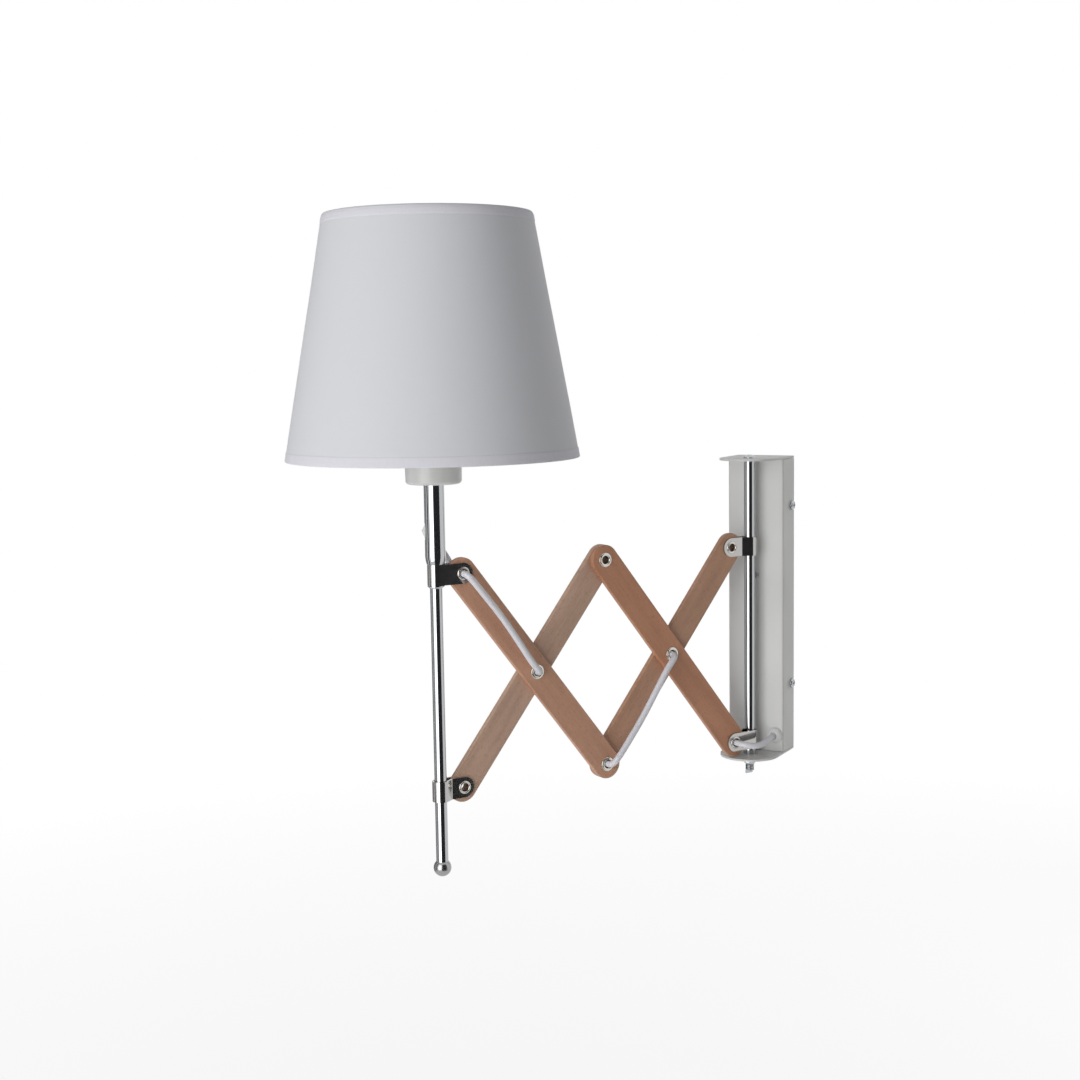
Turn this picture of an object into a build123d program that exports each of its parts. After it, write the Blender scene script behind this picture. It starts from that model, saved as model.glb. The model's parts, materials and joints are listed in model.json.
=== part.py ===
from build123d import *
import os
from math import acos, atan2, cos, degrees, hypot, pi, radians, sin, tan

# Accordion wall lamp: a steel wall bracket with a vertical rod, a two-cell scissor of beech slats that swings
# on it, and a lamp on a second vertical rod at the scissor's far end.
# Millimetres. The wall is the plane y = 0, the room lies toward -Y, +X is to the right as seen from the room,
# +Z is up, and the origin is the middle of the bracket's back on the wall.

# ---------------------------------------------------------------- clearances
FIT = 0.1              # radial gap of pieces that stay together
RUN = 0.3              # face gap between pieces that move past each other
PIVOT_GAP = 0.2        # radial gap of a rivet barrel in a slat
THROUGH = 1.5          # how far a cutting tool runs past a face

# ---------------------------------------------------------------- wall bracket
BRACKET_WIDTH = 46.0
BRACKET_HEIGHT = 235.0
BRACKET_DEPTH = 24.0          # wall to the front of the cover
PLATE = 1.5                   # sheet of the back plate and its tabs
COVER_SHEET = 1.2
BEND = 1.8                    # outside radius of a fold
ROD_STANDOFF = 12.8           # front of the cover to the wall rod's axis
WALL_SCREW_SPACING = 140.0
WALL_SCREW_HOLE = 4.5
MAINS_HOLE = 12.0
MAINS_LEVEL = 45.0
EAR_BELOW_TOP = 38.8          # bracket's top to the upper side screws
EAR_ABOVE_FOOT = 54.0         # bracket's foot to the lower side screws
EAR_DEPTH = 10.0              # how far a lug stands off the plate
EAR_HEIGHT = 12.0
SIDE_SCREW_DEPTH = 5.5        # wall to a side screw's axis
SCREW_SHANK = 3.0
SCREW_HEAD = 7.4
SCREW_HEAD_HEIGHT = 2.2
SIDE_SCREW_LENGTH = 5.0
FRONT_SCREW_LEVEL = 24.3
FRONT_SCREW_HEAD = 5.8
FRONT_SCREW_LENGTH = 7.0
POST_DIAMETER = 7.0

# ---------------------------------------------------------------- cord and grommet
CORD = 4.7
GROMMET_ACROSS = 16.3         # bracket's middle to the grommet
GROMMET_ABOVE_FOOT = 14.8     # bracket's foot to the grommet
GROMMET_DIAMETER = 12.4
GROMMET_DOME = 4.6
GROMMET_NECK = 8.6
GROMMET_INSIDE = 1.6          # lip behind the sheet
GROMMET_LIP = 0.9             # how far that lip stands beyond the neck
GROMMET_EDGE = 0.7            # eased mouth round the cord

# ---------------------------------------------------------------- terminal block
TERMINAL_WIDTH = 30.0
TERMINAL_DEPTH = 12.0         # out from the plate
TERMINAL_HEIGHT = 17.0
TERMINAL_LEVEL = -38.0
TERMINAL_POLES = 3
TERMINAL_BORE = 4.0
TERMINAL_SCREW = 3.2
TERMINAL_GROOVE = 1.2         # between neighbouring barrels
TERMINAL_CHIMNEY = 6.2        # round tower over each screw
SLEEVE_WALL = 0.7
SLEEVE_INSET = 1.0            # sleeve's end inside the block's end
TERMINAL_SCREW_INSET = 1.0    # screw's head below its tower's rim

# ---------------------------------------------------------------- rods
ROD = 8.6                     # both rods
STUD = 7.2                    # threaded foot of the wall rod
STUD_LENGTH = 16.2            # below the rod's shoulder
STUD_STEP = 2.8               # one prong of the slotted stud is shorter
STUD_SLOT_WIDTH = 1.2
STUD_SLOT_DEPTH = 9.0
NUT_FLATS = 9.8
NUT_HEIGHT = 6.5
NUT_CONE = 2.5                # height of its chamfered end
NUT_CONE_RIM = 0.6            # flat left round the thread there
TOP_SCREW_HEAD = 9.6
TOP_SCREW_DOME = 2.6
TOP_SCREW_SHANK = 5.0
TOP_SCREW_LENGTH = 13.0
TOP_SCREW_BOTTOM_GAP = 1.0    # drilled hole below the screw's end
COLLAR = 10.2
COLLAR_HEIGHT = 4.45

# ---------------------------------------------------------------- scissor
SWING_AT_REST = 29.3          # degrees from straight out, toward -X
SLAT_ANGLE = 52.0             # degrees of a slat from level
PIVOT_SPACING = 97.0          # along a slat, between neighbouring rivets
SLAT_WIDTH = 22.0
SLAT_THICKNESS = 4.2
SLAT_EASE = 0.6               # eased long edges
CLIP_REACH = 18.5             # rod axis to the rivet
CLIP_HEIGHT = 14.5
STRAP = 1.3                   # clip strap
STRAP_BORE = 9.3
STRAP_BEND_AT = 8.0           # where the cranked leg turns parallel to the slat
STRAP_BEND_RADIUS = 1.6

RIVET_BARREL = 7.0
RIVET_BORE = 5.3
RIVET_FLANGE = 10.6           # on wood
RIVET_CLIP_FLANGE = 9.2       # on a clip's leg
RIVET_RIM = 0.9               # thickness of the rolled flange
RIVET_ROLL = 0.4

# ---------------------------------------------------------------- lamp, with heights above its upper clip
BALL = 12.6
BALL_LEVEL = -208.1
STOP_RING = 12.0
STOP_RING_THICKNESS = 1.6
STOP_RING_EDGE = 0.5          # its straight rim above the cone
TUBE = 14.2
TUBE_WALL = 1.0
TUBE_LEVEL = 15.6             # foot of the tube
TAPER_DIAMETER = 12.4         # small end of the tapered end piece
TAPER_SPIGOT = 2.0
TAPER_SWELL = 0.35            # how far its side bows out of a straight cone
ROD_TOP = 13.0                # end of the rod inside the tapered end piece
CORD_HOLE_LEVEL = 21.5
BUSH_FLANGE = 1.6             # ring seen between tube and holder
BUSH_SPIGOT = 9.0
BUSH_LIP = 0.9                # cord bush beyond the tube's outside
NIPPLE = 10.0
NIPPLE_LENGTH = 9.0
NIPPLE_BORE = 7.0
HOLDER_NUT_FLATS = 14.0
HOLDER_NUT_HEIGHT = 3.0
SWITCH_LOW = 25.3
SWITCH_HIGH = 35.2
SWITCH_PEAK = 31.1
SWITCH_PROUD = 1.9
SWITCH_WIDTH = 5.0
SWITCH_BODY_WIDTH = 8.0
SWITCH_BODY_HEIGHT = 12.5
SWITCH_BACK = 1.4             # lamp axis to the back of the switch
SWITCH_PIVOT_RADIUS = 4.6     # lamp axis to the rocker's pivot
SWITCH_HUB = 2.0
SWITCH_EDGE = 0.4
SWITCH_SLOT_GAP = 0.6

CAP_LEVEL = 63.0              # underside of the lamp-holder cap
CAP_DIAMETER = 39.7
CAP_FOOT_DIAMETER = 38.6
CAP_HEIGHT = 24.0
CAP_WALL = 2.0
CAP_EDGE = 2.5
HOLDER_DIAMETER = 37.6
HOLDER_HEIGHT = 27.0
HOLDER_WALL = 2.2
HOLDER_SOCKET = 4.0           # how deep the barrel enters the cap
HOLDER_SOCKET_LEAD = 0.3      # taper of that entry
CORE_HEIGHT = 8.0
CORE_FOOT_GAP = 2.0           # nipple's end to the core
CORE_STEP = 2.0               # taper at the core's foot
SHELL_DIAMETER = 28.6
SHELL_WALL = 0.5
SHELL_HEIGHT = 18.0
CONTACT_RISE = 2.0
CONTACT_STRIP = 0.4
CONTACT_WIDTH = 5.0
CONTACT_BEND = 0.6
RING_NUT_DIAMETER = 44.0
RING_NUT_HEIGHT = 6.5
RING_NUT_WALL = 2.0

SHADE_BOTTOM = 80.5
SHADE_TOP = 246.0
SHADE_BOTTOM_RADIUS = 100.5
SHADE_TOP_RADIUS = 71.0
SHADE_WALL = 1.0
HEM_HEIGHT = 4.8
HEM_PROUD = 0.4
WIRE = 2.6
SPOKE = 3.0
FITTER_WIDTH = 6.5
FITTER_THICKNESS = 1.5

BULB_CAP = 26.4
BULB_CAP_HEIGHT = 24.0
BULB_GLOBE = 45.0
BULB_LENGTH = 50.0            # glass above the cap
BULB_NECK = 23.0
BULB_NECK_FLARE = 1.5
BULB_FOOT_GAP = 0.4           # centre contact to the bulb's foot
BULB_CONTACT = 8.0            # solder button under the cap
BULB_CAP_SHOULDER = 4.5       # height of the cap's insulated cone

# ---------------------------------------------------------------- derived places
ROD_Y = -(BRACKET_DEPTH + ROD_STANDOFF)
HALF_HEIGHT = BRACKET_HEIGHT / 2
TAB_INSIDE = HALF_HEIGHT - PLATE
RUNNING_STEP = PIVOT_SPACING * cos(radians(SLAT_ANGLE))
RISING_STEP = PIVOT_SPACING * sin(radians(SLAT_ANGLE))
LOWER_CLIP_LEVEL = -TAB_INSIDE + COLLAR_HEIGHT + RUN + CLIP_HEIGHT / 2
MIDDLE_LEVEL = LOWER_CLIP_LEVEL + RISING_STEP
UPPER_CLIP_LEVEL = MIDDLE_LEVEL + RISING_STEP
ARM_REACH = 2 * CLIP_REACH + 4 * RUNNING_STEP
LAYER = (SLAT_THICKNESS + RUN) / 2            # a slat's middle plane from the arm's middle plane
ROD_RADIUS = ROD / 2
TUBE_RADIUS = TUBE / 2
TUBE_BORE = TUBE - 2 * TUBE_WALL
HALF_WIDTH = BRACKET_WIDTH / 2
EAR_LEVELS = (HALF_HEIGHT - EAR_BELOW_TOP, -HALF_HEIGHT + EAR_ABOVE_FOOT)
GROMMET_LEVEL = -HALF_HEIGHT + GROMMET_ABOVE_FOOT
SWITCH_MIDDLE = (SWITCH_LOW + SWITCH_HIGH) / 2
SWITCH_ROOM = SWITCH_HIGH - SWITCH_LOW + 2 * SWITCH_SLOT_GAP
HOLDER_LEVEL = CAP_LEVEL + CAP_HEIGHT         # top of the cap
CORE_TOP = HOLDER_LEVEL + CORE_HEIGHT
BULB_LEVEL = CORE_TOP + CONTACT_RISE + BULB_FOOT_GAP

# The arm's own frame: x along the arm away from the wall rod, y square to the slats, z up.
OUTWARD = Vector(-sin(radians(SWING_AT_REST)), -cos(radians(SWING_AT_REST)), 0)
ARM = Plane(origin=(0, ROD_Y, 0), x_dir=OUTWARD, z_dir=(0, 0, 1))
LAMP_AXIS = ARM.from_local_coords((ARM_REACH, 0, 0))
SIDEWAYS = Vector(cos(radians(SWING_AT_REST)), sin(radians(SWING_AT_REST)), 0)
LAMP = Plane(origin=(LAMP_AXIS.X, LAMP_AXIS.Y, UPPER_CLIP_LEVEL), x_dir=SIDEWAYS, z_dir=(0, 0, 1))
LAMP_IN_ARM = Plane(origin=(LAMP_AXIS.X, LAMP_AXIS.Y, 0), x_dir=OUTWARD, z_dir=(0, 0, 1))

# Rivet places in the arm's frame, as (along, up).
WALL_UPPER = (CLIP_REACH, UPPER_CLIP_LEVEL)
WALL_LOWER = (CLIP_REACH, LOWER_CLIP_LEVEL)
CROSS_WALL = (CLIP_REACH + RUNNING_STEP, MIDDLE_LEVEL)
JOINT_TOP = (CLIP_REACH + 2 * RUNNING_STEP, UPPER_CLIP_LEVEL)
JOINT_BOTTOM = (CLIP_REACH + 2 * RUNNING_STEP, LOWER_CLIP_LEVEL)
CROSS_LAMP = (CLIP_REACH + 3 * RUNNING_STEP, MIDDLE_LEVEL)
LAMP_UPPER = (CLIP_REACH + 4 * RUNNING_STEP, UPPER_CLIP_LEVEL)
LAMP_LOWER = (CLIP_REACH + 4 * RUNNING_STEP, LOWER_CLIP_LEVEL)


# ---------------------------------------------------------------- small helpers
def rod_between(x, y, low, high, diameter):
    """An upright cylinder."""
    return Pos(x, y, (low + high) / 2) * Cylinder(diameter / 2, high - low)


def bar(point, direction, length, diameter):
    """A round bar that starts at a point and runs along a direction."""
    start = Plane(origin=point, z_dir=direction)
    return start * Cylinder(diameter / 2, length, align=(Align.CENTER, Align.CENTER, Align.MIN))


def turned(*points):
    """A solid of revolution about Z from an outline given as (radius, height)."""
    outline = Polyline(*[(r, 0, z) for r, z in points], close=True)
    return revolve(make_face(outline), Axis.Z)


def pan_screw(point, direction, head, head_height, shank_length):
    """A pan-head screw: its head's underside is at the point, and the shank runs along the direction."""
    frame = Plane(origin=point, z_dir=direction)
    dome = Pos(0, 0, -head_height / 2) * Cylinder(head / 2, head_height)
    dome = fillet(dome.edges().group_by(Axis.Z)[0], head_height * 0.6)
    recess = Pos(0, 0, -head_height) * extrude(RegularPolygon(head * 0.2, 4), head_height * 0.45)
    shank = Cylinder(SCREW_SHANK / 2, shank_length, align=(Align.CENTER, Align.CENTER, Align.MIN))
    return frame * (dome + shank - recess)


def tube_along(name, points, radii):
    """A round cord through straight runs joined by tangent arcs; prints its length and radii."""
    path = FilletPolyline(*points, radius=radii)
    start = Plane(origin=path @ 0, z_dir=path % 0)
    solid = sweep(start * Circle(CORD / 2), path=path)
    wanted = pi * CORD**2 / 4 * path.length
    rounded = [round(r, 1) for r in radii]
    print(f"{name}: {path.length:.1f} mm, radii {rounded}, volume ratio {solid.volume / wanted:.4f}")
    return solid


def bend_radii(points):
    """For each corner of a route, 0.45 of its shorter run over the tangent of half its turn."""
    corners = [Vector(*p) for p in points]
    radii = []
    for before, corner, after in zip(corners, corners[1:], corners[2:]):
        run_in, run_out = corner - before, after - corner
        turn = radians(run_in.get_angle(run_out))
        radii.append(0.45 * min(run_in.length, run_out.length) / tan(turn / 2))
    return radii


def cord(name, points):
    """A cord along a route of chosen points in the row's frame."""
    return tube_along(name, points, bend_radii(points))


# ---------------------------------------------------------------- wall bracket
def tab(low, high):
    """One tab of the back plate: straight sides from the wall to the rod, then a half disc round the rod."""
    outline = Pos(0, ROD_Y / 2) * Rectangle(BRACKET_WIDTH, -ROD_Y) + Pos(0, ROD_Y) * Circle(HALF_WIDTH)
    return Pos(0, 0, low) * extrude(outline, high - low)


def ear(side, level):
    """A lug folded out of the back plate that takes one side screw of the cover."""
    outer = HALF_WIDTH - COVER_SHEET - RUN
    depth = EAR_DEPTH + PLATE
    lug = Pos(side * (outer - PLATE / 2), -depth / 2, level) * Box(PLATE, depth, EAR_HEIGHT)
    hole_start = (side * HALF_WIDTH, -SIDE_SCREW_DEPTH, level)
    return lug - bar(hole_start, (-side, 0, 0), HALF_WIDTH / 2, SCREW_SHANK + 2 * FIT)


def wall_chassis():
    """Back plate, both tabs and the four lugs, folded from one sheet."""
    width = BRACKET_WIDTH - 2 * (COVER_SHEET + RUN)
    body = Pos(0, -PLATE / 2, 0) * Box(width, PLATE, BRACKET_HEIGHT)
    body += tab(TAB_INSIDE, HALF_HEIGHT) + tab(-HALF_HEIGHT, -TAB_INSIDE)
    folds = body.edges().filter_by(Axis.X).group_by(Axis.Y)[-1]
    body = fillet(folds.group_by(Axis.Z)[0] + folds.group_by(Axis.Z)[-1], BEND)
    for side in (1, -1):
        for level in EAR_LEVELS:
            body += ear(side, level)
    for level in (WALL_SCREW_SPACING / 2, -WALL_SCREW_SPACING / 2):
        body -= bar((0, THROUGH, level), (0, -1, 0), PLATE + 2 * THROUGH, WALL_SCREW_HOLE)
    body -= bar((0, THROUGH, MAINS_LEVEL), (0, -1, 0), PLATE + 2 * THROUGH, MAINS_HOLE)
    body -= rod_between(0, ROD_Y, 0, HALF_HEIGHT + THROUGH, TOP_SCREW_SHANK + 2 * FIT)
    body -= rod_between(0, ROD_Y, -HALF_HEIGHT - THROUGH, 0, STUD + 2 * FIT)
    return body


def bracket_cover():
    """Front and two sides, folded from one sheet, between the tabs."""
    length = 2 * (TAB_INSIDE - RUN)
    depth = BRACKET_DEPTH - RUN
    outer = Pos(0, -RUN - depth / 2) * Rectangle(BRACKET_WIDTH, depth)
    outer = fillet(outer.vertices().group_by(Axis.Y)[0], BEND)
    inner_width = BRACKET_WIDTH - 2 * COVER_SHEET
    inner = Pos(0, -(BRACKET_DEPTH - COVER_SHEET) / 2) * Rectangle(inner_width, BRACKET_DEPTH - COVER_SHEET)
    inner = fillet(inner.vertices().group_by(Axis.Y)[0], BEND - COVER_SHEET)
    cover = Pos(0, 0, -length / 2) * extrude(outer - inner, length)
    cut = COVER_SHEET + 2 * THROUGH
    front = -BRACKET_DEPTH - THROUGH
    cover -= bar((GROMMET_ACROSS, front, GROMMET_LEVEL), (0, 1, 0), cut, GROMMET_NECK + 2 * FIT)
    cover -= bar((0, front, FRONT_SCREW_LEVEL), (0, 1, 0), cut, SCREW_SHANK + 2 * FIT)
    for side in (1, -1):
        for height in EAR_LEVELS:
            start = (side * (HALF_WIDTH + THROUGH), -SIDE_SCREW_DEPTH, height)
            cover -= bar(start, (-side, 0, 0), cut, SCREW_SHANK + 2 * FIT)
    return cover


def cover_side_screws():
    """Two pan-head screws at each side."""
    return Compound(children=[
        pan_screw((side * HALF_WIDTH, -SIDE_SCREW_DEPTH, level), (-side, 0, 0),
                  SCREW_HEAD, SCREW_HEAD_HEIGHT, SIDE_SCREW_LENGTH)
        for side in (1, -1) for level in EAR_LEVELS
    ])


def front_screw():
    """The small screw on the cover's front."""
    return pan_screw((0, -BRACKET_DEPTH, FRONT_SCREW_LEVEL), (0, 1, 0),
                     FRONT_SCREW_HEAD, SCREW_HEAD_HEIGHT * 0.8, FRONT_SCREW_LENGTH)


def cover_post():
    """Tapped post on the back plate that takes the front screw."""
    length = BRACKET_DEPTH - COVER_SHEET - PLATE - FIT
    post = bar((0, -PLATE, FRONT_SCREW_LEVEL), (0, -1, 0), length, POST_DIAMETER)
    start = (0, -BRACKET_DEPTH, FRONT_SCREW_LEVEL)
    return post - bar(start, (0, 1, 0), FRONT_SCREW_LENGTH + THROUGH, SCREW_SHANK + 2 * FIT)


def pole_places():
    """Centres of the terminal block's poles across the bracket."""
    pitch = TERMINAL_WIDTH / TERMINAL_POLES
    return [(i - (TERMINAL_POLES - 1) / 2) * pitch for i in range(TERMINAL_POLES)]


BARREL_AXIS = -PLATE - TERMINAL_DEPTH / 2     # depth of the poles' upright bores


def terminal_block():
    """Moulded block: a foot, with one round barrel and one screw tower for each pole."""
    half = TERMINAL_DEPTH / 2
    block = Pos(0, -PLATE - half / 2, TERMINAL_LEVEL) * Box(TERMINAL_WIDTH, half, TERMINAL_HEIGHT)
    barrel = (TERMINAL_WIDTH / TERMINAL_POLES - TERMINAL_GROOVE) / 2
    for x in pole_places():
        block += Pos(x, BARREL_AXIS, TERMINAL_LEVEL) * Cylinder(barrel, TERMINAL_HEIGHT)
        block += bar((x, BARREL_AXIS, TERMINAL_LEVEL), (0, -1, 0), half, TERMINAL_CHIMNEY)
    for x in pole_places():
        block -= Pos(x, BARREL_AXIS, TERMINAL_LEVEL) * Cylinder(TERMINAL_BORE / 2 + FIT, TERMINAL_HEIGHT)
        block -= bar((x, BARREL_AXIS, TERMINAL_LEVEL), (0, -1, 0), half + THROUGH, TERMINAL_SCREW + 2 * FIT)
    return block


def terminal_sleeves():
    """Brass sleeve of each pole."""
    length = TERMINAL_HEIGHT - 2 * SLEEVE_INSET
    sleeve = Cylinder(TERMINAL_BORE / 2, length) - Cylinder(TERMINAL_BORE / 2 - SLEEVE_WALL, length)
    return Compound(children=[Pos(x, BARREL_AXIS, TERMINAL_LEVEL) * sleeve for x in pole_places()])


def terminal_screws():
    """Clamping screw of each pole, seated on its sleeve."""
    start = BARREL_AXIS - TERMINAL_BORE / 2 - FIT
    length = TERMINAL_DEPTH / 2 - TERMINAL_BORE / 2 - FIT - TERMINAL_SCREW_INSET
    return Compound(children=[
        bar((x, start, TERMINAL_LEVEL), (0, -1, 0), length, TERMINAL_SCREW) for x in pole_places()
    ])


def cable_grommet():
    """Domed grommet with a groove that the cover's sheet sits in."""
    neck, bore, rim = GROMMET_NECK / 2, CORD / 2 + FIT, GROMMET_DIAMETER / 2
    lip = neck + GROMMET_LIP
    mouth = bore + GROMMET_EDGE
    inside = -COVER_SHEET - GROMMET_INSIDE
    base = Polyline((bore, 0, inside), (lip - GROMMET_LIP / 2, 0, inside), (lip, 0, -COVER_SHEET - FIT),
                    (neck, 0, -COVER_SHEET - FIT), (neck, 0, FIT), (rim, 0, FIT))
    dome = ThreePointArc((rim, 0, FIT), (rim * 0.84, 0, GROMMET_DOME * 0.66), (mouth, 0, GROMMET_DOME))
    close = Polyline((mouth, 0, GROMMET_DOME), (bore, 0, GROMMET_DOME - GROMMET_EDGE), (bore, 0, inside))
    solid = revolve(make_face(base + dome + close), Axis.Z)
    return Plane(origin=(GROMMET_ACROSS, -BRACKET_DEPTH, GROMMET_LEVEL), z_dir=(0, -1, 0)) * solid


# ---------------------------------------------------------------- wall rod
def wall_rod():
    """Rod between the tabs with a slotted, threaded foot and a tapped head."""
    rod = rod_between(0, ROD_Y, -TAB_INSIDE, TAB_INSIDE, ROD)
    stud = rod_between(0, ROD_Y, -TAB_INSIDE - STUD_LENGTH, -TAB_INSIDE, STUD)
    foot = Plane(origin=(0, ROD_Y, -TAB_INSIDE - STUD_LENGTH), x_dir=OUTWARD, z_dir=(0, 0, 1))
    slot = foot * (Pos(0, 0, STUD_SLOT_DEPTH / 2) * Box(2 * STUD, STUD_SLOT_WIDTH, STUD_SLOT_DEPTH))
    step = foot * (Pos(0, STUD / 2, STUD_STEP / 2) * Box(2 * STUD, STUD, STUD_STEP))
    tapped = rod_between(0, ROD_Y, TAB_INSIDE - TOP_SCREW_LENGTH, TAB_INSIDE, TOP_SCREW_SHANK + 2 * FIT)
    return rod + (stud - slot - step) - tapped


def rod_top_screw():
    """Domed screw through the top tab into the rod."""
    radius = (TOP_SCREW_HEAD**2 / 4 + TOP_SCREW_DOME**2) / (2 * TOP_SCREW_DOME)
    blank = Cylinder(TOP_SCREW_HEAD / 2, TOP_SCREW_DOME, align=(Align.CENTER, Align.CENTER, Align.MIN))
    head = blank & Pos(0, 0, TOP_SCREW_DOME - radius) * Sphere(radius)
    length = PLATE + TOP_SCREW_LENGTH - TOP_SCREW_BOTTOM_GAP
    shank = Cylinder(TOP_SCREW_SHANK / 2, length, align=(Align.CENTER, Align.CENTER, Align.MAX))
    return Pos(0, ROD_Y, HALF_HEIGHT) * (head + shank)


def rod_foot_nut():
    """Hexagon nut on the rod's threaded foot, coned at its lower end."""
    corner = NUT_FLATS / cos(radians(30)) / 2
    hexagon = extrude(RegularPolygon(corner, 6), -NUT_HEIGHT)
    rim = STUD / 2 + NUT_CONE_RIM
    cone = turned((0, 0), (corner, 0), (corner, NUT_CONE - NUT_HEIGHT), (rim, -NUT_HEIGHT), (0, -NUT_HEIGHT))
    nut = (hexagon & cone) - Cylinder(STUD / 2 + FIT, 3 * NUT_HEIGHT)
    return Pos(0, ROD_Y, -HALF_HEIGHT) * nut


def rod_foot_collar():
    """Short sleeve that the lower wall clip rests on."""
    top = -TAB_INSIDE + COLLAR_HEIGHT
    sleeve = rod_between(0, ROD_Y, -TAB_INSIDE, top, COLLAR)
    return sleeve - rod_between(0, ROD_Y, -TAB_INSIDE - THROUGH, top + THROUGH, ROD + FIT)


# ---------------------------------------------------------------- scissor
def slat_frame(centre, layer, rising):
    """Frame of a slat: x along it away from the wall, y across it, z away from the front of the arm."""
    angle = radians(SLAT_ANGLE if rising else -SLAT_ANGLE)
    middle = (centre[0], layer * LAYER, centre[1])
    return Plane(origin=middle, x_dir=(cos(angle), 0, sin(angle)), z_dir=(0, -1, 0))


def slat(centre, layer, rising):
    """One slat: round ends, three rivet holes and eased edges."""
    outline = SlotCenterToCenter(2 * PIVOT_SPACING, SLAT_WIDTH)
    body = extrude(outline, SLAT_THICKNESS / 2, both=True)
    front_and_back = [body.faces().sort_by(Axis.Z)[-1], body.faces().sort_by(Axis.Z)[0]]
    body = fillet([edge for face in front_and_back for edge in face.edges()], SLAT_EASE)
    for x in (-PIVOT_SPACING, 0, PIVOT_SPACING):
        body -= Pos(x, 0, 0) * Cylinder(RIVET_BARREL / 2 + PIVOT_GAP, 2 * SLAT_THICKNESS)
    return ARM * (slat_frame(centre, layer, rising) * body)


def clip_at_wall(layer):
    """Strap clip of the wall rod in the arm's frame at level 0: one leg runs straight off the loop, and the
    other is cranked in to the slat's inner face."""
    mean = (STRAP_BORE + STRAP) / 2
    inner_leg = mean - STRAP - SLAT_THICKNESS - 2 * RUN
    bend = (STRAP_BEND_AT, inner_leg)
    away = hypot(*bend)
    touch = degrees(atan2(bend[1], bend[0])) - degrees(acos(mean / away))
    tangent_point = (mean * cos(radians(touch)), mean * sin(radians(touch)))
    tip = CLIP_REACH + CLIP_HEIGHT / 2
    straight = Line((tip, mean), (0, mean))
    loop = CenterArc((0, 0), mean, 90, touch + 360 - 90)
    crank = FilletPolyline(tangent_point, bend, (tip, inner_leg), radius=STRAP_BEND_RADIUS)
    strap = extrude(trace(straight + loop + crank, STRAP), CLIP_HEIGHT / 2, both=True)
    outline = Rectangle(CLIP_REACH + STRAP_BORE, CLIP_HEIGHT, align=(Align.MAX, Align.CENTER))
    outline += Circle(CLIP_HEIGHT / 2)
    at_rivet = Plane(origin=(CLIP_REACH, 0, 0), x_dir=(1, 0, 0), z_dir=(0, -1, 0))
    strap = strap & at_rivet * extrude(outline, STRAP_BORE, both=True)
    strap -= bar((CLIP_REACH, -STRAP_BORE, 0), (0, 1, 0), 2 * STRAP_BORE, RIVET_BARREL + 2 * FIT)
    return strap if layer > 0 else mirror(strap, about=Plane.XZ)


def wall_clip(level, layer):
    """A clip on the wall rod."""
    return ARM * (Pos(0, 0, level) * clip_at_wall(layer))


def lamp_clip(level, layer):
    """A clip on the lamp rod: the same strap, facing the wall."""
    return LAMP_IN_ARM * (Pos(0, 0, level) * mirror(clip_at_wall(layer), about=Plane.YZ))


def rivet(place, back, front, flange):
    """Hollow rivet with a rolled flange on each face; back and front are the faces that it holds."""
    bore, barrel, rim = RIVET_BORE / 2, RIVET_BARREL / 2, flange / 2
    roll = RIVET_ROLL
    low, high = back - RIVET_RIM, front + RIVET_RIM
    solid = turned(
        (bore, low + roll), (bore + roll, low), (rim - roll, low), (rim, low + roll), (rim, back),
        (barrel, back), (barrel, front),
        (rim, front), (rim, high - roll), (rim - roll, high), (bore + roll, high), (bore, high - roll),
    )
    return ARM * (Plane(origin=(place[0], 0, place[1]), z_dir=(0, 1, 0)) * solid)


# Faces that a rivet holds, across the arm: both slats, or the two legs of a clip with one slat between them.
SLAT_FACES = (-(SLAT_THICKNESS + RUN / 2), SLAT_THICKNESS + RUN / 2)
LEG_OUT = (STRAP_BORE + 2 * STRAP) / 2
LEG_IN = LEG_OUT - 2 * STRAP - SLAT_THICKNESS - 2 * RUN


def crossing_rivet(place):
    """Rivet of two slats: seated on one slat, with a running gap at the other."""
    back, front = SLAT_FACES
    return rivet(place, back - RUN, front, RIVET_FLANGE)


def clip_rivet(place, layer):
    """Rivet of a clip, through both its legs."""
    back, front = (LEG_IN, LEG_OUT) if layer > 0 else (-LEG_OUT, -LEG_IN)
    return rivet(place, back, front, RIVET_CLIP_FLANGE)


# ---------------------------------------------------------------- lamp rod and tube
def lamp_rod():
    """Rod from the tapered end piece down into the ball."""
    return LAMP * rod_between(0, 0, BALL_LEVEL, ROD_TOP, ROD)


def ball_end():
    """Ball on the rod's foot, which stops the lower clip."""
    ball = Pos(0, 0, BALL_LEVEL) * Sphere(BALL / 2)
    return LAMP * (ball - rod_between(0, 0, BALL_LEVEL, BALL_LEVEL + BALL, ROD + FIT))


def clip_stop_ring():
    """Coned ring pressed on the rod under the upper clip."""
    top = -CLIP_HEIGHT / 2 - RUN
    bore = ROD_RADIUS + FIT / 2
    foot = top - STOP_RING_THICKNESS
    return LAMP * turned((bore, top), (STOP_RING / 2, top), (STOP_RING / 2, top - STOP_RING_EDGE),
                         (bore + STOP_RING_EDGE, foot), (bore, foot))


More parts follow.
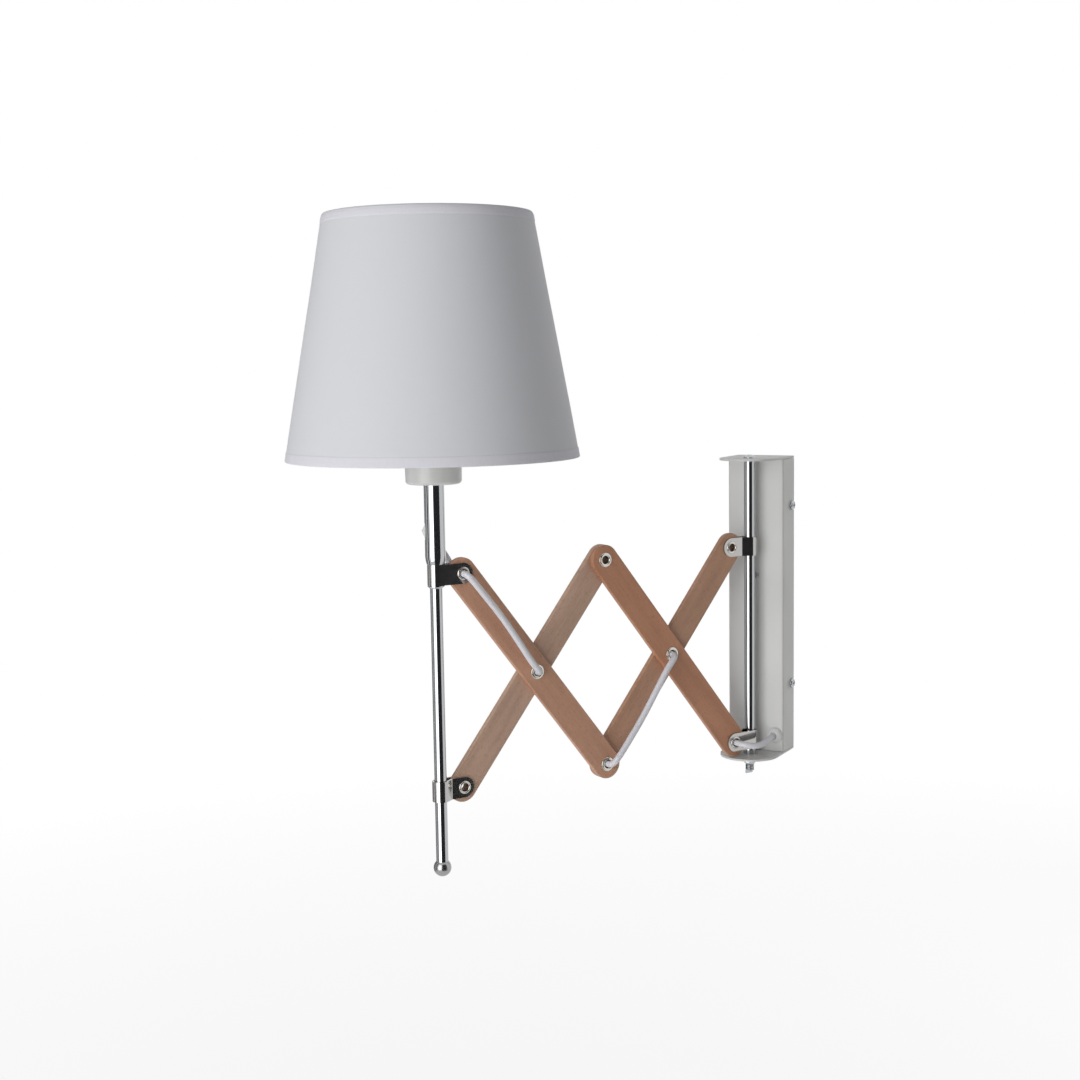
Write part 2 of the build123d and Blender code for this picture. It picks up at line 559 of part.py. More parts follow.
def tube_taper():
    """Tapered end piece that joins the thick tube to the rod."""
    low = CLIP_HEIGHT / 2 + RUN
    inside = TUBE_BORE / 2 - FIT
    small, large = TAPER_DIAMETER / 2, TUBE / 2
    bore = ROD_RADIUS + FIT / 2
    seat = ROD_TOP + FIT
    swell = ((small + large) / 2 + TAPER_SWELL, 0, (low + TUBE_LEVEL) / 2)
    side = ThreePointArc((small, 0, low), swell, (large, 0, TUBE_LEVEL))
    top = TUBE_LEVEL + TAPER_SPIGOT
    rest = Polyline((large, 0, TUBE_LEVEL), (inside, 0, TUBE_LEVEL), (inside, 0, top), (0, 0, top),
                    (0, 0, seat), (bore, 0, seat), (bore, 0, low), (small, 0, low))
    return LAMP * revolve(make_face(side + rest), Axis.Z)


def switch_room():
    """Upright slot of the rocker, from the lamp's axis out, with the rocker's middle at level 0."""
    return Box(TUBE, SWITCH_WIDTH + 2 * RUN, SWITCH_ROOM, align=(Align.MAX, Align.CENTER, Align.CENTER))


def lamp_tube():
    """Thick tube with the switch's slot and the cord's hole."""
    top = CAP_LEVEL - BUSH_FLANGE
    tube = rod_between(0, 0, TUBE_LEVEL, top, TUBE)
    tube -= rod_between(0, 0, TUBE_LEVEL - THROUGH, top + THROUGH, TUBE_BORE)
    tube -= Pos(0, 0, SWITCH_MIDDLE) * switch_room()
    tube -= bar((0, 0, CORD_HOLE_LEVEL), (0, 1, 0), TUBE, CORD + 2 * TUBE_WALL)
    return LAMP * tube


def cord_bush():
    """Flanged bush that lines the cord's hole in the tube."""
    bore, neck = CORD + 2 * FIT, CORD + 2 * TUBE_WALL - 2 * FIT
    inner = TUBE_BORE / 2
    outer = TUBE_RADIUS + BUSH_LIP
    body = bar((0, inner, CORD_HOLE_LEVEL), (0, 1, 0), outer - inner, neck)
    flange = bar((0, 0, CORD_HOLE_LEVEL), (0, 1, 0), outer, neck + 2 * BUSH_LIP)
    flange -= rod_between(0, 0, 0, CAP_LEVEL, TUBE + FIT)
    return LAMP * (body + flange - bar((0, 0, CORD_HOLE_LEVEL), (0, 1, 0), TUBE, bore))


def switch_body():
    """Switch housing inside the tube, cut to the tube's bore."""
    block = Box(TUBE, SWITCH_BODY_WIDTH, SWITCH_BODY_HEIGHT, align=(Align.MAX, Align.CENTER, Align.CENTER))
    inside = Cylinder(TUBE_BORE / 2 - FIT, SWITCH_BODY_HEIGHT)
    pocket = Pos(SWITCH_HUB + RUN - SWITCH_PIVOT_RADIUS, 0, 0) * switch_room()
    return LAMP * (Pos(0, 0, SWITCH_MIDDLE) * ((Pos(-SWITCH_BACK, 0, 0) * block & inside) - pocket))


def switch_rocker():
    """Rocker with its peak above the middle, on a round hub."""
    low, high = SWITCH_LOW - SWITCH_MIDDLE, SWITCH_HIGH - SWITCH_MIDDLE
    face = TUBE_RADIUS - SWITCH_EDGE
    profile = Polyline((-SWITCH_PIVOT_RADIUS, 0, low + SWITCH_EDGE), (-face, 0, low),
                       (-TUBE_RADIUS - SWITCH_PROUD, 0, SWITCH_PEAK - SWITCH_MIDDLE), (-face, 0, high),
                       (-SWITCH_PIVOT_RADIUS, 0, high - SWITCH_EDGE), close=True)
    rocker = extrude(make_face(profile), SWITCH_WIDTH / 2, both=True)
    rocker = fillet(rocker.edges().filter_by(Axis.Y).sort_by(Axis.X)[0], SWITCH_PROUD * 0.8)
    hub = Pos(-SWITCH_PIVOT_RADIUS, 0, 0) * Rot(90, 0, 0) * Cylinder(SWITCH_HUB, SWITCH_WIDTH)
    return LAMP * (Pos(0, 0, SWITCH_MIDDLE) * (rocker + hub))


def tube_bush():
    """Shouldered bush in the tube's top with the threaded nipple of the lamp-holder."""
    top = CAP_LEVEL
    low = top - BUSH_FLANGE
    inside = TUBE_BORE / 2 - FIT
    bore, thread = NIPPLE_BORE / 2, NIPPLE / 2
    return LAMP * turned(
        (bore, low - BUSH_SPIGOT), (inside, low - BUSH_SPIGOT), (inside, low), (TUBE_RADIUS, low),
        (TUBE_RADIUS, top), (thread, top), (thread, top + NIPPLE_LENGTH), (bore, top + NIPPLE_LENGTH),
    )


# ---------------------------------------------------------------- lamp-holder
def lampholder_cap():
    """Moulded cap: slightly tapered cup with a rounded foot."""
    foot, mouth = CAP_FOOT_DIAMETER / 2, CAP_DIAMETER / 2
    low, high = CAP_LEVEL, HOLDER_LEVEL
    hole = NIPPLE / 2 + FIT
    side = Polyline((hole, 0, low), (foot, 0, low), (mouth, 0, high), (mouth - CAP_WALL, 0, high),
                    (foot - CAP_WALL, 0, low + CAP_WALL), (hole, 0, low + CAP_WALL), close=True)
    cup = revolve(make_face(side), Axis.Z)
    outer_foot = cup.edges().group_by(Axis.Z)[0].sort_by(SortBy.RADIUS)[-1]
    return LAMP * fillet(outer_foot, CAP_EDGE)


def holder_nut():
    """Thin hexagon nut that clamps the cap on the nipple."""
    ring = extrude(RegularPolygon(HOLDER_NUT_FLATS / cos(radians(30)) / 2, 6), HOLDER_NUT_HEIGHT)
    ring -= Cylinder(NIPPLE / 2 + FIT, 3 * HOLDER_NUT_HEIGHT)
    return LAMP * (Pos(0, 0, CAP_LEVEL + CAP_WALL) * ring)


def lampholder_body():
    """Outer barrel above the cap, which carries the shade ring's thread."""
    low, high = HOLDER_LEVEL, HOLDER_LEVEL + HOLDER_HEIGHT
    radius = HOLDER_DIAMETER / 2
    inner = radius - HOLDER_WALL
    socket = CAP_DIAMETER / 2 - CAP_WALL - 3 * FIT
    foot = low - HOLDER_SOCKET
    return LAMP * turned((inner, foot), (socket - HOLDER_SOCKET_LEAD, foot), (socket, low), (radius, low),
                         (radius, high), (inner, high))


def holder_core():
    """Ceramic core that carries the contacts, on the cap's nipple."""
    low = CAP_LEVEL + NIPPLE_LENGTH + CORE_FOOT_GAP
    shoulder = HOLDER_LEVEL - HOLDER_SOCKET + FIT
    outer = HOLDER_DIAMETER / 2 - HOLDER_WALL - FIT
    narrow = CAP_FOOT_DIAMETER / 2 - 2 * CAP_WALL - CORE_STEP
    core = turned((0, low), (narrow - CORE_STEP, low), (narrow, shoulder), (outer, shoulder),
                  (outer, CORE_TOP), (0, CORE_TOP))
    return LAMP * (core - rod_between(0, 0, low - THROUGH, low + CORE_HEIGHT, CORD + 2 * FIT))


def contact_shell():
    """Brass screw shell on the core."""
    low, high = CORE_TOP, CORE_TOP + SHELL_HEIGHT
    outer, inner = SHELL_DIAMETER / 2, SHELL_DIAMETER / 2 - SHELL_WALL
    return LAMP * turned((inner, low), (outer, low), (outer, high), (inner, high))


def centre_contact():
    """Sprung tongue under the bulb: a foot, a rising strip and a flat."""
    low, high = CORE_TOP + CONTACT_STRIP / 2 + FIT / 2, CORE_TOP + CONTACT_RISE
    strip = FilletPolyline((-9, low), (-4, low), (-2, high), (4, high), radius=CONTACT_BEND)
    tongue = extrude(trace(strip, CONTACT_STRIP), CONTACT_WIDTH / 2, both=True)
    return LAMP * (Plane.XZ * tongue)


def shade_ring_nut():
    """Ring nut with a wide flange that clamps the shade's fitter ring."""
    low = HOLDER_LEVEL + FITTER_THICKNESS
    bore = HOLDER_DIAMETER / 2 + FIT
    outer = RING_NUT_DIAMETER / 2
    wall = bore + RING_NUT_WALL
    return LAMP * turned((bore, low), (outer, low), (outer, low + RING_NUT_WALL), (wall, low + RING_NUT_WALL),
                         (wall, low + RING_NUT_HEIGHT), (bore, low + RING_NUT_HEIGHT))


# ---------------------------------------------------------------- shade
def shade_radius(level):
    """Outer radius of the shade's fabric at a height."""
    share = (level - SHADE_BOTTOM) / (SHADE_TOP - SHADE_BOTTOM)
    return SHADE_BOTTOM_RADIUS + share * (SHADE_TOP_RADIUS - SHADE_BOTTOM_RADIUS)


def wire_ring_radius(level):
    """Radius of a wire ring that lies inside the fabric at a height."""
    return shade_radius(level) - SHADE_WALL - WIRE / 2 - FIT


def shade_cover():
    """Fabric on its stiff lining, with a turned hem at each rim."""
    def at(level, proud):
        return (shade_radius(level) + proud, level)
    bottom, top, proud = SHADE_BOTTOM, SHADE_TOP, HEM_PROUD
    hem_low, hem_high = bottom + HEM_HEIGHT, top - HEM_HEIGHT
    return LAMP * turned(
        at(bottom, -SHADE_WALL), at(bottom, 0), at(bottom + proud, proud), at(hem_low, proud),
        at(hem_low + proud, 0), at(hem_high - proud, 0),
        at(hem_high, proud), at(top - proud, proud), at(top, 0), at(top, -SHADE_WALL),
    )


def wire_ring(level):
    """Round wire ring inside the shade."""
    return Pos(0, 0, level) * Torus(wire_ring_radius(level), WIRE / 2)


def shade_frame():
    """Fitter ring, three spokes and the bottom wire ring, welded together."""
    ring_level = SHADE_BOTTOM + WIRE / 2
    low, high = HOLDER_LEVEL, HOLDER_LEVEL + FITTER_THICKNESS
    bore = HOLDER_DIAMETER / 2 + FIT
    rim = bore + FITTER_WIDTH
    frame = turned((bore, low), (rim, low), (rim, high), (bore, high)) + wire_ring(ring_level)
    start = Vector(rim - SPOKE / 2, 0, (low + high) / 2)
    end = Vector(wire_ring_radius(ring_level), 0, ring_level)
    spoke = bar(start, end - start, (end - start).length, SPOKE)
    for turn in (90, 210, 330):
        frame += Rot(0, 0, turn) * spoke
    return LAMP * frame


def shade_top_ring():
    """Wire ring inside the shade's top rim."""
    return LAMP * wire_ring(SHADE_TOP - WIRE / 2)


# ---------------------------------------------------------------- bulb
def bulb_cap():
    """Screw cap of the bulb with its insulated foot."""
    radius, button = BULB_CAP / 2, BULB_CONTACT / 2
    low, high = BULB_LEVEL, BULB_LEVEL + BULB_CAP_HEIGHT
    shoulder = low + BULB_CAP_SHOULDER
    return LAMP * turned((0, low), (button, low), (radius - button, low + BULB_CAP_SHOULDER * 2 / 3),
                         (radius, shoulder), (radius, high), (0, high))


def bulb_glass():
    """Small globe on a neck."""
    low = BULB_LEVEL + BULB_CAP_HEIGHT
    radius = BULB_GLOBE / 2
    centre = low + BULB_LENGTH - radius
    globe = Pos(0, 0, centre) * Sphere(radius)
    neck = turned((0, low), (BULB_NECK / 2, low), (BULB_NECK / 2 + BULB_NECK_FLARE, low + radius / 4),
                  (radius * 0.88, centre - radius * 0.47), (0, centre))
    return LAMP * (globe + neck)


# ---------------------------------------------------------------- cord
def on_slat(place, rising, points):
    """Points given along a slat from a rivet, across it, and out from the arm's middle plane."""
    angle = radians(SLAT_ANGLE if rising else -SLAT_ANGLE)
    found = []
    for along, across, out in points:
        outward = place[0] + along * cos(angle) - across * sin(angle)
        level = place[1] + along * sin(angle) + across * cos(angle)
        found.append(tuple(ARM.from_local_coords((outward, out, level))))
    return found


LEG_MIDDLE = (LEG_IN + LEG_OUT) / 2           # where two cord stretches meet in a clip's rivet
GROMMET_MOUTH = -BRACKET_DEPTH - GROMMET_DOME
NEXT = PIVOT_SPACING                          # from one rivet to the next


def cord_in_bracket():
    """From the terminal block down and out through the grommet."""
    across, level = GROMMET_ACROSS, GROMMET_LEVEL
    foot = TERMINAL_LEVEL - TERMINAL_HEIGHT / 2 - FIT
    points = [(0, -8, foot), (0, -8, foot - 14), (7, -7, foot - 27), (across - 1.5, -8, level + 10),
              (across, -13, level + 1), (across, -19, level), (across, GROMMET_MOUTH, level)]
    return cord("cord_in_bracket", points)


def cord_at_wall():
    """From the grommet in a bow round the rod's front into the lower wall rivet."""
    across, level, rivet_level = GROMMET_ACROSS, GROMMET_LEVEL, LOWER_CLIP_LEVEL
    rivet_middle = tuple(ARM.from_local_coords((CLIP_REACH, LEG_MIDDLE, rivet_level)))
    outside = tuple(ARM.from_local_coords((CLIP_REACH, LEG_OUT + 3.9, rivet_level)))
    points = [(across, GROMMET_MOUTH, level), (across, ROD_Y + 0.8, level), (15.6, ROD_Y - 7.4, level - 2.1),
              (12.6, ROD_Y - 15.8, rivet_level - 1.9), (6.5, ROD_Y - 20.8, rivet_level - 1.1),
              outside, rivet_middle]
    return cord("cord_at_wall", points)


def cord_behind_wall_slat():
    """Behind the wall side's front slat, from its clip rivet to the first crossing."""
    points = [(0, 0, LEG_MIDDLE), (0, 0, -5.5), (3.5, 0, -9.5), (13, 1, -11.5), (31, 2.5, -12),
              (53, 1.5, -12.6), (73, -1, -12.3), (NEXT - 9, -0.8, -11.8), (NEXT - 2.5, 0, -9.8),
              (NEXT, 0, -6.5), (NEXT, 0, 0)]
    return cord("cord_behind_wall_slat", on_slat(WALL_LOWER, True, points))


def cord_over_wall_slat():
    """Over the front from the first crossing to the bottom joint."""
    points = [(0, 0, 0), (0, 0, 8), (3, 1.5, 11.8), (13, 3, 13), (32, 1, 12.2), (54, -1, 11.6),
              (74, -0.5, 12.2), (NEXT - 9, 0, 12.4), (NEXT - 2.5, 0, 11), (NEXT, 0, 7.5), (NEXT, 0, 0)]
    return cord("cord_over_wall_slat", on_slat(CROSS_WALL, False, points))


def cord_behind_lamp_slat():
    """Behind the lamp side's front slat, from the bottom joint to the second crossing."""
    points = [(0, 0, 0), (0, 0, -7.5), (2.8, 0, -11), (12, -1, -12.4), (31, -2, -12), (52, -1, -11.6),
              (73, 1, -12), (NEXT - 10, 1, -12.2), (NEXT - 2.7, 0, -10.8), (NEXT, 0, -7.5), (NEXT, 0, 0)]
    return cord("cord_behind_lamp_slat", on_slat(JOINT_BOTTOM, True, points))


def cord_over_lamp_slat():
    """Over the front from the second crossing to the upper lamp rivet."""
    points = [(0, 0, 0), (0, 0, 8), (3, -1, 11.6), (13, -1.8, 12.6), (32, 0, 12), (54, 1.2, 11.8),
              (74, 0.6, 12.4), (NEXT - 9, 0, 13), (NEXT - 2.5, 0, 11.8), (NEXT, 0, 8), (NEXT, 0, LEG_MIDDLE)]
    return cord("cord_over_lamp_slat", on_slat(CROSS_LAMP, True, points))


def cord_to_tube():
    """From the upper lamp rivet round the back and up to the bush in the tube."""
    rivet_middle = tuple(ARM.from_local_coords((LAMP_UPPER[0], LEG_MIDDLE, UPPER_CLIP_LEVEL)))
    outside = tuple(ARM.from_local_coords((LAMP_UPPER[0], LEG_IN - 5.5, UPPER_CLIP_LEVEL)))
    free = [(9.9, 19.4, 3.2), (6.8, 21.4, 8.8), (3, 20.6, 15), (0.6, 17.2, 19.7), (0, 12.6, CORD_HOLE_LEVEL)]
    bush = TUBE_RADIUS + BUSH_LIP
    ends = [tuple(LAMP.from_local_coords(point)) for point in free + [(0, bush, CORD_HOLE_LEVEL)]]
    return cord("cord_to_tube", [rivet_middle, outside] + ends)


def cord_in_tube():
    """From the bush up beside the switch into the lamp-holder."""
    bush = TUBE_RADIUS + BUSH_LIP
    end = CAP_LEVEL + NIPPLE_LENGTH + CORE_HEIGHT
    places = [(0, bush, CORD_HOLE_LEVEL), (0, 4.4, CORD_HOLE_LEVEL), (1.3, 1.8, 23.5), (2.8, 0.5, 28.2),
              (3.3, 0.2, 36), (2.4, 0.1, 45), (0.6, 0, 53), (0, 0, CAP_LEVEL - 1), (0, 0, end)]
    return cord("cord_in_tube", [tuple(LAMP.from_local_coords(place)) for place in places])


# ---------------------------------------------------------------- all pieces
PIECES = {
    "wall_chassis": wall_chassis() + cover_post(),
    "bracket_cover": bracket_cover(),
    "cover_side_screws": cover_side_screws(),
    "front_screw": front_screw(),
    "terminal_block": terminal_block(),
    "terminal_sleeves": terminal_sleeves(),
    "terminal_screws": terminal_screws(),
    "cable_grommet": cable_grommet(),
    "wall_rod": wall_rod(),
    "rod_top_screw": rod_top_screw(),
    "rod_foot_nut": rod_foot_nut(),
    "rod_foot_collar": rod_foot_collar(),
    "wall_clip_lower": wall_clip(LOWER_CLIP_LEVEL, 1),
    "wall_clip_upper": wall_clip(UPPER_CLIP_LEVEL, -1),
    "slat_wall_front": slat(CROSS_WALL, 1, True),
    "slat_wall_rear": slat(CROSS_WALL, -1, False),
    "slat_lamp_front": slat(CROSS_LAMP, 1, True),
    "slat_lamp_rear": slat(CROSS_LAMP, -1, False),
    "lamp_clip_lower": lamp_clip(LOWER_CLIP_LEVEL, -1),
    "lamp_clip_upper": lamp_clip(UPPER_CLIP_LEVEL, 1),
    "rivet_wall_lower": clip_rivet(WALL_LOWER, 1),
    "rivet_wall_upper": clip_rivet(WALL_UPPER, -1),
    "rivet_cross_wall": crossing_rivet(CROSS_WALL),
    "rivet_joint_top": crossing_rivet(JOINT_TOP),
    "rivet_joint_bottom": crossing_rivet(JOINT_BOTTOM),
    "rivet_cross_lamp": crossing_rivet(CROSS_LAMP),
    "rivet_lamp_lower": clip_rivet(LAMP_LOWER, -1),
    "rivet_lamp_upper": clip_rivet(LAMP_UPPER, 1),
    "lamp_rod": lamp_rod(),
    "ball_end": ball_end(),
    "clip_stop_ring": clip_stop_ring(),
    "tube_taper": tube_taper(),
    "lamp_tube": lamp_tube(),
    "cord_bush": cord_bush(),
    "switch_body": switch_body(),
    "switch_rocker": switch_rocker(),
    "tube_bush": tube_bush(),
    "lampholder_cap": lampholder_cap(),
    "holder_nut": holder_nut(),
    "lampholder_body": lampholder_body(),
    "holder_core": holder_core(),
    "contact_shell": contact_shell(),
    "centre_contact": centre_contact(),
    "shade_ring_nut": shade_ring_nut(),
    "shade_frame": shade_frame(),
    "shade_top_ring": shade_top_ring(),
    "shade_cover": shade_cover(),
    "bulb_cap": bulb_cap(),
    "bulb_glass": bulb_glass(),
    "cord_in_bracket": cord_in_bracket(),
    "cord_at_wall": cord_at_wall(),
    "cord_behind_wall_slat": cord_behind_wall_slat(),
    "cord_over_wall_slat": cord_over_wall_slat(),
    "cord_behind_lamp_slat": cord_behind_lamp_slat(),
    "cord_over_lamp_slat": cord_over_lamp_slat(),
    "cord_to_tube": cord_to_tube(),
    "cord_in_tube": cord_in_tube(),
}

os.makedirs("parts", exist_ok=True)
for name, piece in PIECES.items():
    export_step(piece, f"parts/{name}.step")
print(f"{len(PIECES)} pieces written")
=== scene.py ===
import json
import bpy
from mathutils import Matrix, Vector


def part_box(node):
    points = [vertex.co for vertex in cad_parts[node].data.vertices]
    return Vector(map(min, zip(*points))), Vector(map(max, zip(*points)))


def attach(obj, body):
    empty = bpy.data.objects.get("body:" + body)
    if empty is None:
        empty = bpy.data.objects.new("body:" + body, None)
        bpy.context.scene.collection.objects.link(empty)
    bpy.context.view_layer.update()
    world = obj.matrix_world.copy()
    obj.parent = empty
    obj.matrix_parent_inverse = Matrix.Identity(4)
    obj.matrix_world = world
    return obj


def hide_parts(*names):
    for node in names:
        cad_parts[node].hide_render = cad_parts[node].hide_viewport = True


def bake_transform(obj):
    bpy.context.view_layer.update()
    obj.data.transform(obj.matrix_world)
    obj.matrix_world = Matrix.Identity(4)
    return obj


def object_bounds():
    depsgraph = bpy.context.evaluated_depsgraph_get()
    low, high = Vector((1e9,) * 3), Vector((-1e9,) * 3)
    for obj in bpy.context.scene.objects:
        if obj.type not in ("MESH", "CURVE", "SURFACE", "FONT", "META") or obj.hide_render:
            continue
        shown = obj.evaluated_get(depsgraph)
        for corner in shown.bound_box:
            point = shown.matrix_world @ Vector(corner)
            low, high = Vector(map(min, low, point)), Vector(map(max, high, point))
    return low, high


bl_info = {
    "name": "Scissor Wall Lamp",
    "version": (1, 0, 0),
    "blender": (4, 5, 0),
    "location": "View3D > Sidebar > Wall Lamp",
    "description": "Builds the finished look of a scissor wall lamp: bracket, beech slats, rods, cord and shade",
    "category": "Add Mesh",
}

from math import atan2, ceil, cos, hypot, pi, radians, sin, tan, tau

import bmesh
import bpy
from bpy.props import FloatProperty, FloatVectorProperty, IntProperty, PointerProperty
from mathutils import Matrix, Vector, noise

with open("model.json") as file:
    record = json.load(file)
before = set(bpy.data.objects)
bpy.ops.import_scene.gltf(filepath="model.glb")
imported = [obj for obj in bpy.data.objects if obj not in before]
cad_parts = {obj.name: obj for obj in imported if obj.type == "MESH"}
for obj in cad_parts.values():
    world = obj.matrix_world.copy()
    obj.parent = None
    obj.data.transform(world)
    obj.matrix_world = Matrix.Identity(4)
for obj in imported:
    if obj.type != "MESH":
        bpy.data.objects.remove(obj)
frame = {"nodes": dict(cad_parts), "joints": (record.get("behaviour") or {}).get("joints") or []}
cad_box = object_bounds()

MM = 0.001
NODES = frame["nodes"]
JOINTS = {joint["name"]: joint for joint in frame["joints"]}


# ---------------------------------------------------------------- places, read from the frame
def pivot(joint):
    """Where a joint's axis passes, in metres."""
    return Vector(JOINTS[joint]["pos_m"])


UP = Vector((0, 0, 1))
WALL_ROD = pivot("arm_swing")
WALL_LOWER = pivot("scissor_fold")
CROSS_WALL = pivot("wall_cross_pivot")
JOINT_TOP = pivot("top_joint_pivot")
WALL_UPPER = pivot("upper_wall_pivot")
JOINT_BOTTOM = pivot("bottom_joint_pivot")
LAMP_LOWER = pivot("lower_lamp_pivot")
LAMP_UPPER = pivot("upper_lamp_pivot")
CROSS_LAMP = (JOINT_BOTTOM + LAMP_UPPER) / 2
LAMP = pivot("lamp_swivel")                          # lamp rod's axis, level with the upper clip's rivet
OUTWARD = (WALL_LOWER - WALL_ROD).normalized()       # along the arm, away from the wall rod
FRONT = UP.cross(OUTWARD)                            # square to the slats, toward the arm's front
SIDEWAYS = Vector((FRONT.x, -FRONT.y, 0))            # the lamp's own X
LAMP_BACK = UP.cross(SIDEWAYS)


def axes(origin, x, y, z):
    """A matrix from an origin and three directions."""
    matrix = Matrix((x, y, z)).transposed().to_4x4()
    matrix.translation = origin
    return matrix


def along(direction, origin, side=UP):
    """A matrix whose Z runs along a direction."""
    z = Vector(direction).normalized()
    x = Vector(side).cross(z)
    x = x.normalized() if x.length > 0.01 else Vector((1, 0, 0))
    return axes(origin, x, z.cross(x), z)


LAMP_PLACE = axes(LAMP, SIDEWAYS, LAMP_BACK, UP)
LAMP_AXIS = Matrix.Translation(LAMP)                 # for pieces turned about the lamp's axis
ROD_PLACE = axes(Vector((WALL_ROD.x, WALL_ROD.y, 0)), OUTWARD, FRONT, UP)


def span(node, origin, direction):
    """How far a CAD node reaches along a direction, low and high, from an origin."""
    reach = [(vertex.co - origin).dot(direction) for vertex in NODES[node].data.vertices]
    return min(reach), max(reach)


def girth(node, origin, axis):
    """A CAD node's largest distance from an axis."""
    return max((vertex.co - origin).cross(axis).length for vertex in NODES[node].data.vertices)


# ---------------------------------------------------------------- colours
def linear(code):
    """An sRGB hex colour as linear RGBA."""
    values = [int(code[i:i + 2], 16) / 255 for i in (1, 3, 5)]
    values = [v / 12.92 if v <= 0.04045 else ((v + 0.055) / 1.055) ** 2.4 for v in values]
    return (*values, 1.0)


def colour_property(name, description, code):
    """A colour that a user can change, with its sRGB hex default."""
    return FloatVectorProperty(name=name, description=description, subtype="COLOR", size=4, min=0, max=1,
                               default=linear(code))


# ---------------------------------------------------------------- settings
class BracketSettings(bpy.types.PropertyGroup):
    """Finish and fixings of the wall bracket and its rod."""
    paint: colour_property("Paint", "Colour of the powder coat", "#D9D9D7")
    orange_peel: FloatProperty(name="Orange peel", description="Width of one ripple in the powder coat",
                               default=1.1 * MM, unit="LENGTH", precision=4)
    thread_pitch: FloatProperty(name="Thread pitch", description="Pitch of the rod's threaded foot",
                                default=1.25 * MM, unit="LENGTH", precision=5)
    thread_depth: FloatProperty(name="Thread depth", description="Depth of the rod's thread",
                                default=0.55 * MM, unit="LENGTH", precision=5)
    stud_slot: FloatProperty(name="Stud slot", description="Width of the slot in the threaded foot",
                             default=1.2 * MM, unit="LENGTH", precision=4)


class ScissorSettings(bpy.types.PropertyGroup):
    """Sizes and finish of the slats, clips and rivets."""
    slat_ease: FloatProperty(name="Slat edge", description="Radius of a slat's eased edges", default=0.7 * MM,
                             unit="LENGTH", precision=4)
    rivet_hole: FloatProperty(name="Rivet hole", description="Diameter of the holes in a slat", default=7.4 * MM,
                              unit="LENGTH", precision=4)
    rivet_bore: FloatProperty(name="Rivet bore", description="Clear bore of a hollow rivet", default=5.3 * MM,
                              unit="LENGTH", precision=4)
    rivet_rim: FloatProperty(name="Rivet rim", description="Thickness of a rivet's rolled flange",
                             default=0.9 * MM, unit="LENGTH", precision=4)
    wood_wall_front: colour_property("Wall front wood", "Beech of the wall end's front slat", "#BF8868")
    wood_wall_rear: colour_property("Wall rear wood", "Beech of the wall end's rear slat", "#BD9176")
    wood_lamp_front: colour_property("Lamp front wood", "Beech of the lamp end's front slat", "#C8987C")
    wood_lamp_rear: colour_property("Lamp rear wood", "Beech of the lamp end's rear slat", "#C6A48E")
    fleck: colour_property("Flecks", "Ray flecks in the beech", "#8C5B40")


class CordSettings(bpy.types.PropertyGroup):
    """The cord."""
    diameter: FloatProperty(name="Diameter", description="Outside diameter of the cord", default=4.7 * MM,
                            unit="LENGTH", precision=4)
    sheath: colour_property("Sheath", "Colour of the cord's sheath", "#E3E2E8")


class LampSettings(bpy.types.PropertyGroup):
    """Shade, holder and bulb."""
    fabric: colour_property("Fabric", "Colour of the shade's fabric", "#DFE0E4")
    thread: FloatProperty(name="Thread spacing", description="Spacing of the threads that the weave shows",
                          default=0.9 * MM, unit="LENGTH", precision=5)
    hem_height: FloatProperty(name="Hem height", description="Height of the turned hem at each rim",
                              default=6.5 * MM, unit="LENGTH", precision=4)
    hem_proud: FloatProperty(name="Hem proud", description="How far a hem stands off the fabric",
                             default=0.3 * MM, unit="LENGTH", precision=5)
    seam_width: FloatProperty(name="Seam width", description="Width of the lapped seam at the back",
                              default=9 * MM, unit="LENGTH", precision=4)
    columns: IntProperty(name="Columns", description="Divisions round the shade", default=192, min=24)


class StageSettings(bpy.types.PropertyGroup):
    """Camera, floor and light."""
    focal_length: FloatProperty(name="Focal length", description="Camera focal length on a 36 mm sensor, in mm",
                                default=53.77, min=1)
    yaw: FloatProperty(name="Yaw", description="Camera turn about the vertical", default=0.5117, unit="ROTATION")
    pitch: FloatProperty(name="Pitch", description="Camera tilt, down is negative", default=-0.1105,
                         unit="ROTATION")
    roll: FloatProperty(name="Roll", description="Camera turn about its line of sight", default=-0.0158,
                        unit="ROTATION")
    place: FloatVectorProperty(name="Place", description="Camera position", default=(0.46934, -1.20579, 0.19451),
                               subtype="TRANSLATION", unit="LENGTH")
    floor_level: FloatProperty(name="Floor level", description="Height of the floor, well below the lamp",
                               default=-0.75, unit="LENGTH")
    floor: colour_property("Floor", "Colour of the floor", "#F4F4F4")
    ambient: FloatProperty(name="Ambient", description="Strength of the even light from all round", default=0.2,
                           min=0)
    key_radiance: FloatProperty(name="Key", description="Radiance of the large soft light", default=2.85, min=0)


# ---------------------------------------------------------------- nodes and materials
def add_node(tree, kind, settings=None, inputs=None):
    """Adds a node, sets its properties, and sets or links its inputs."""
    node = tree.nodes.new(kind)
    for key, value in (settings or {}).items():
        setattr(node, key, value)
    for key, value in (inputs or {}).items():
        if isinstance(value, bpy.types.NodeSocket):
            tree.links.new(value, node.inputs[key])
        else:
            node.inputs[key].default_value = value
    return node


def made_once(build):
    """Keeps the material that a function builds under the function's name, so that pieces share it. A variant
    is built again with its own settings."""
    def fetch(*settings, variant=""):
        name = build.__name__ + variant
        found = bpy.data.materials.get(name)
        if found:
            return found
        material = bpy.data.materials.new(name)
        material.use_nodes = True
        material.node_tree.nodes.clear()
        shader = build(material.node_tree, *settings)
        add_node(material.node_tree, "ShaderNodeOutputMaterial", inputs={"Surface": shader.outputs[0]})
        return material
    return fetch


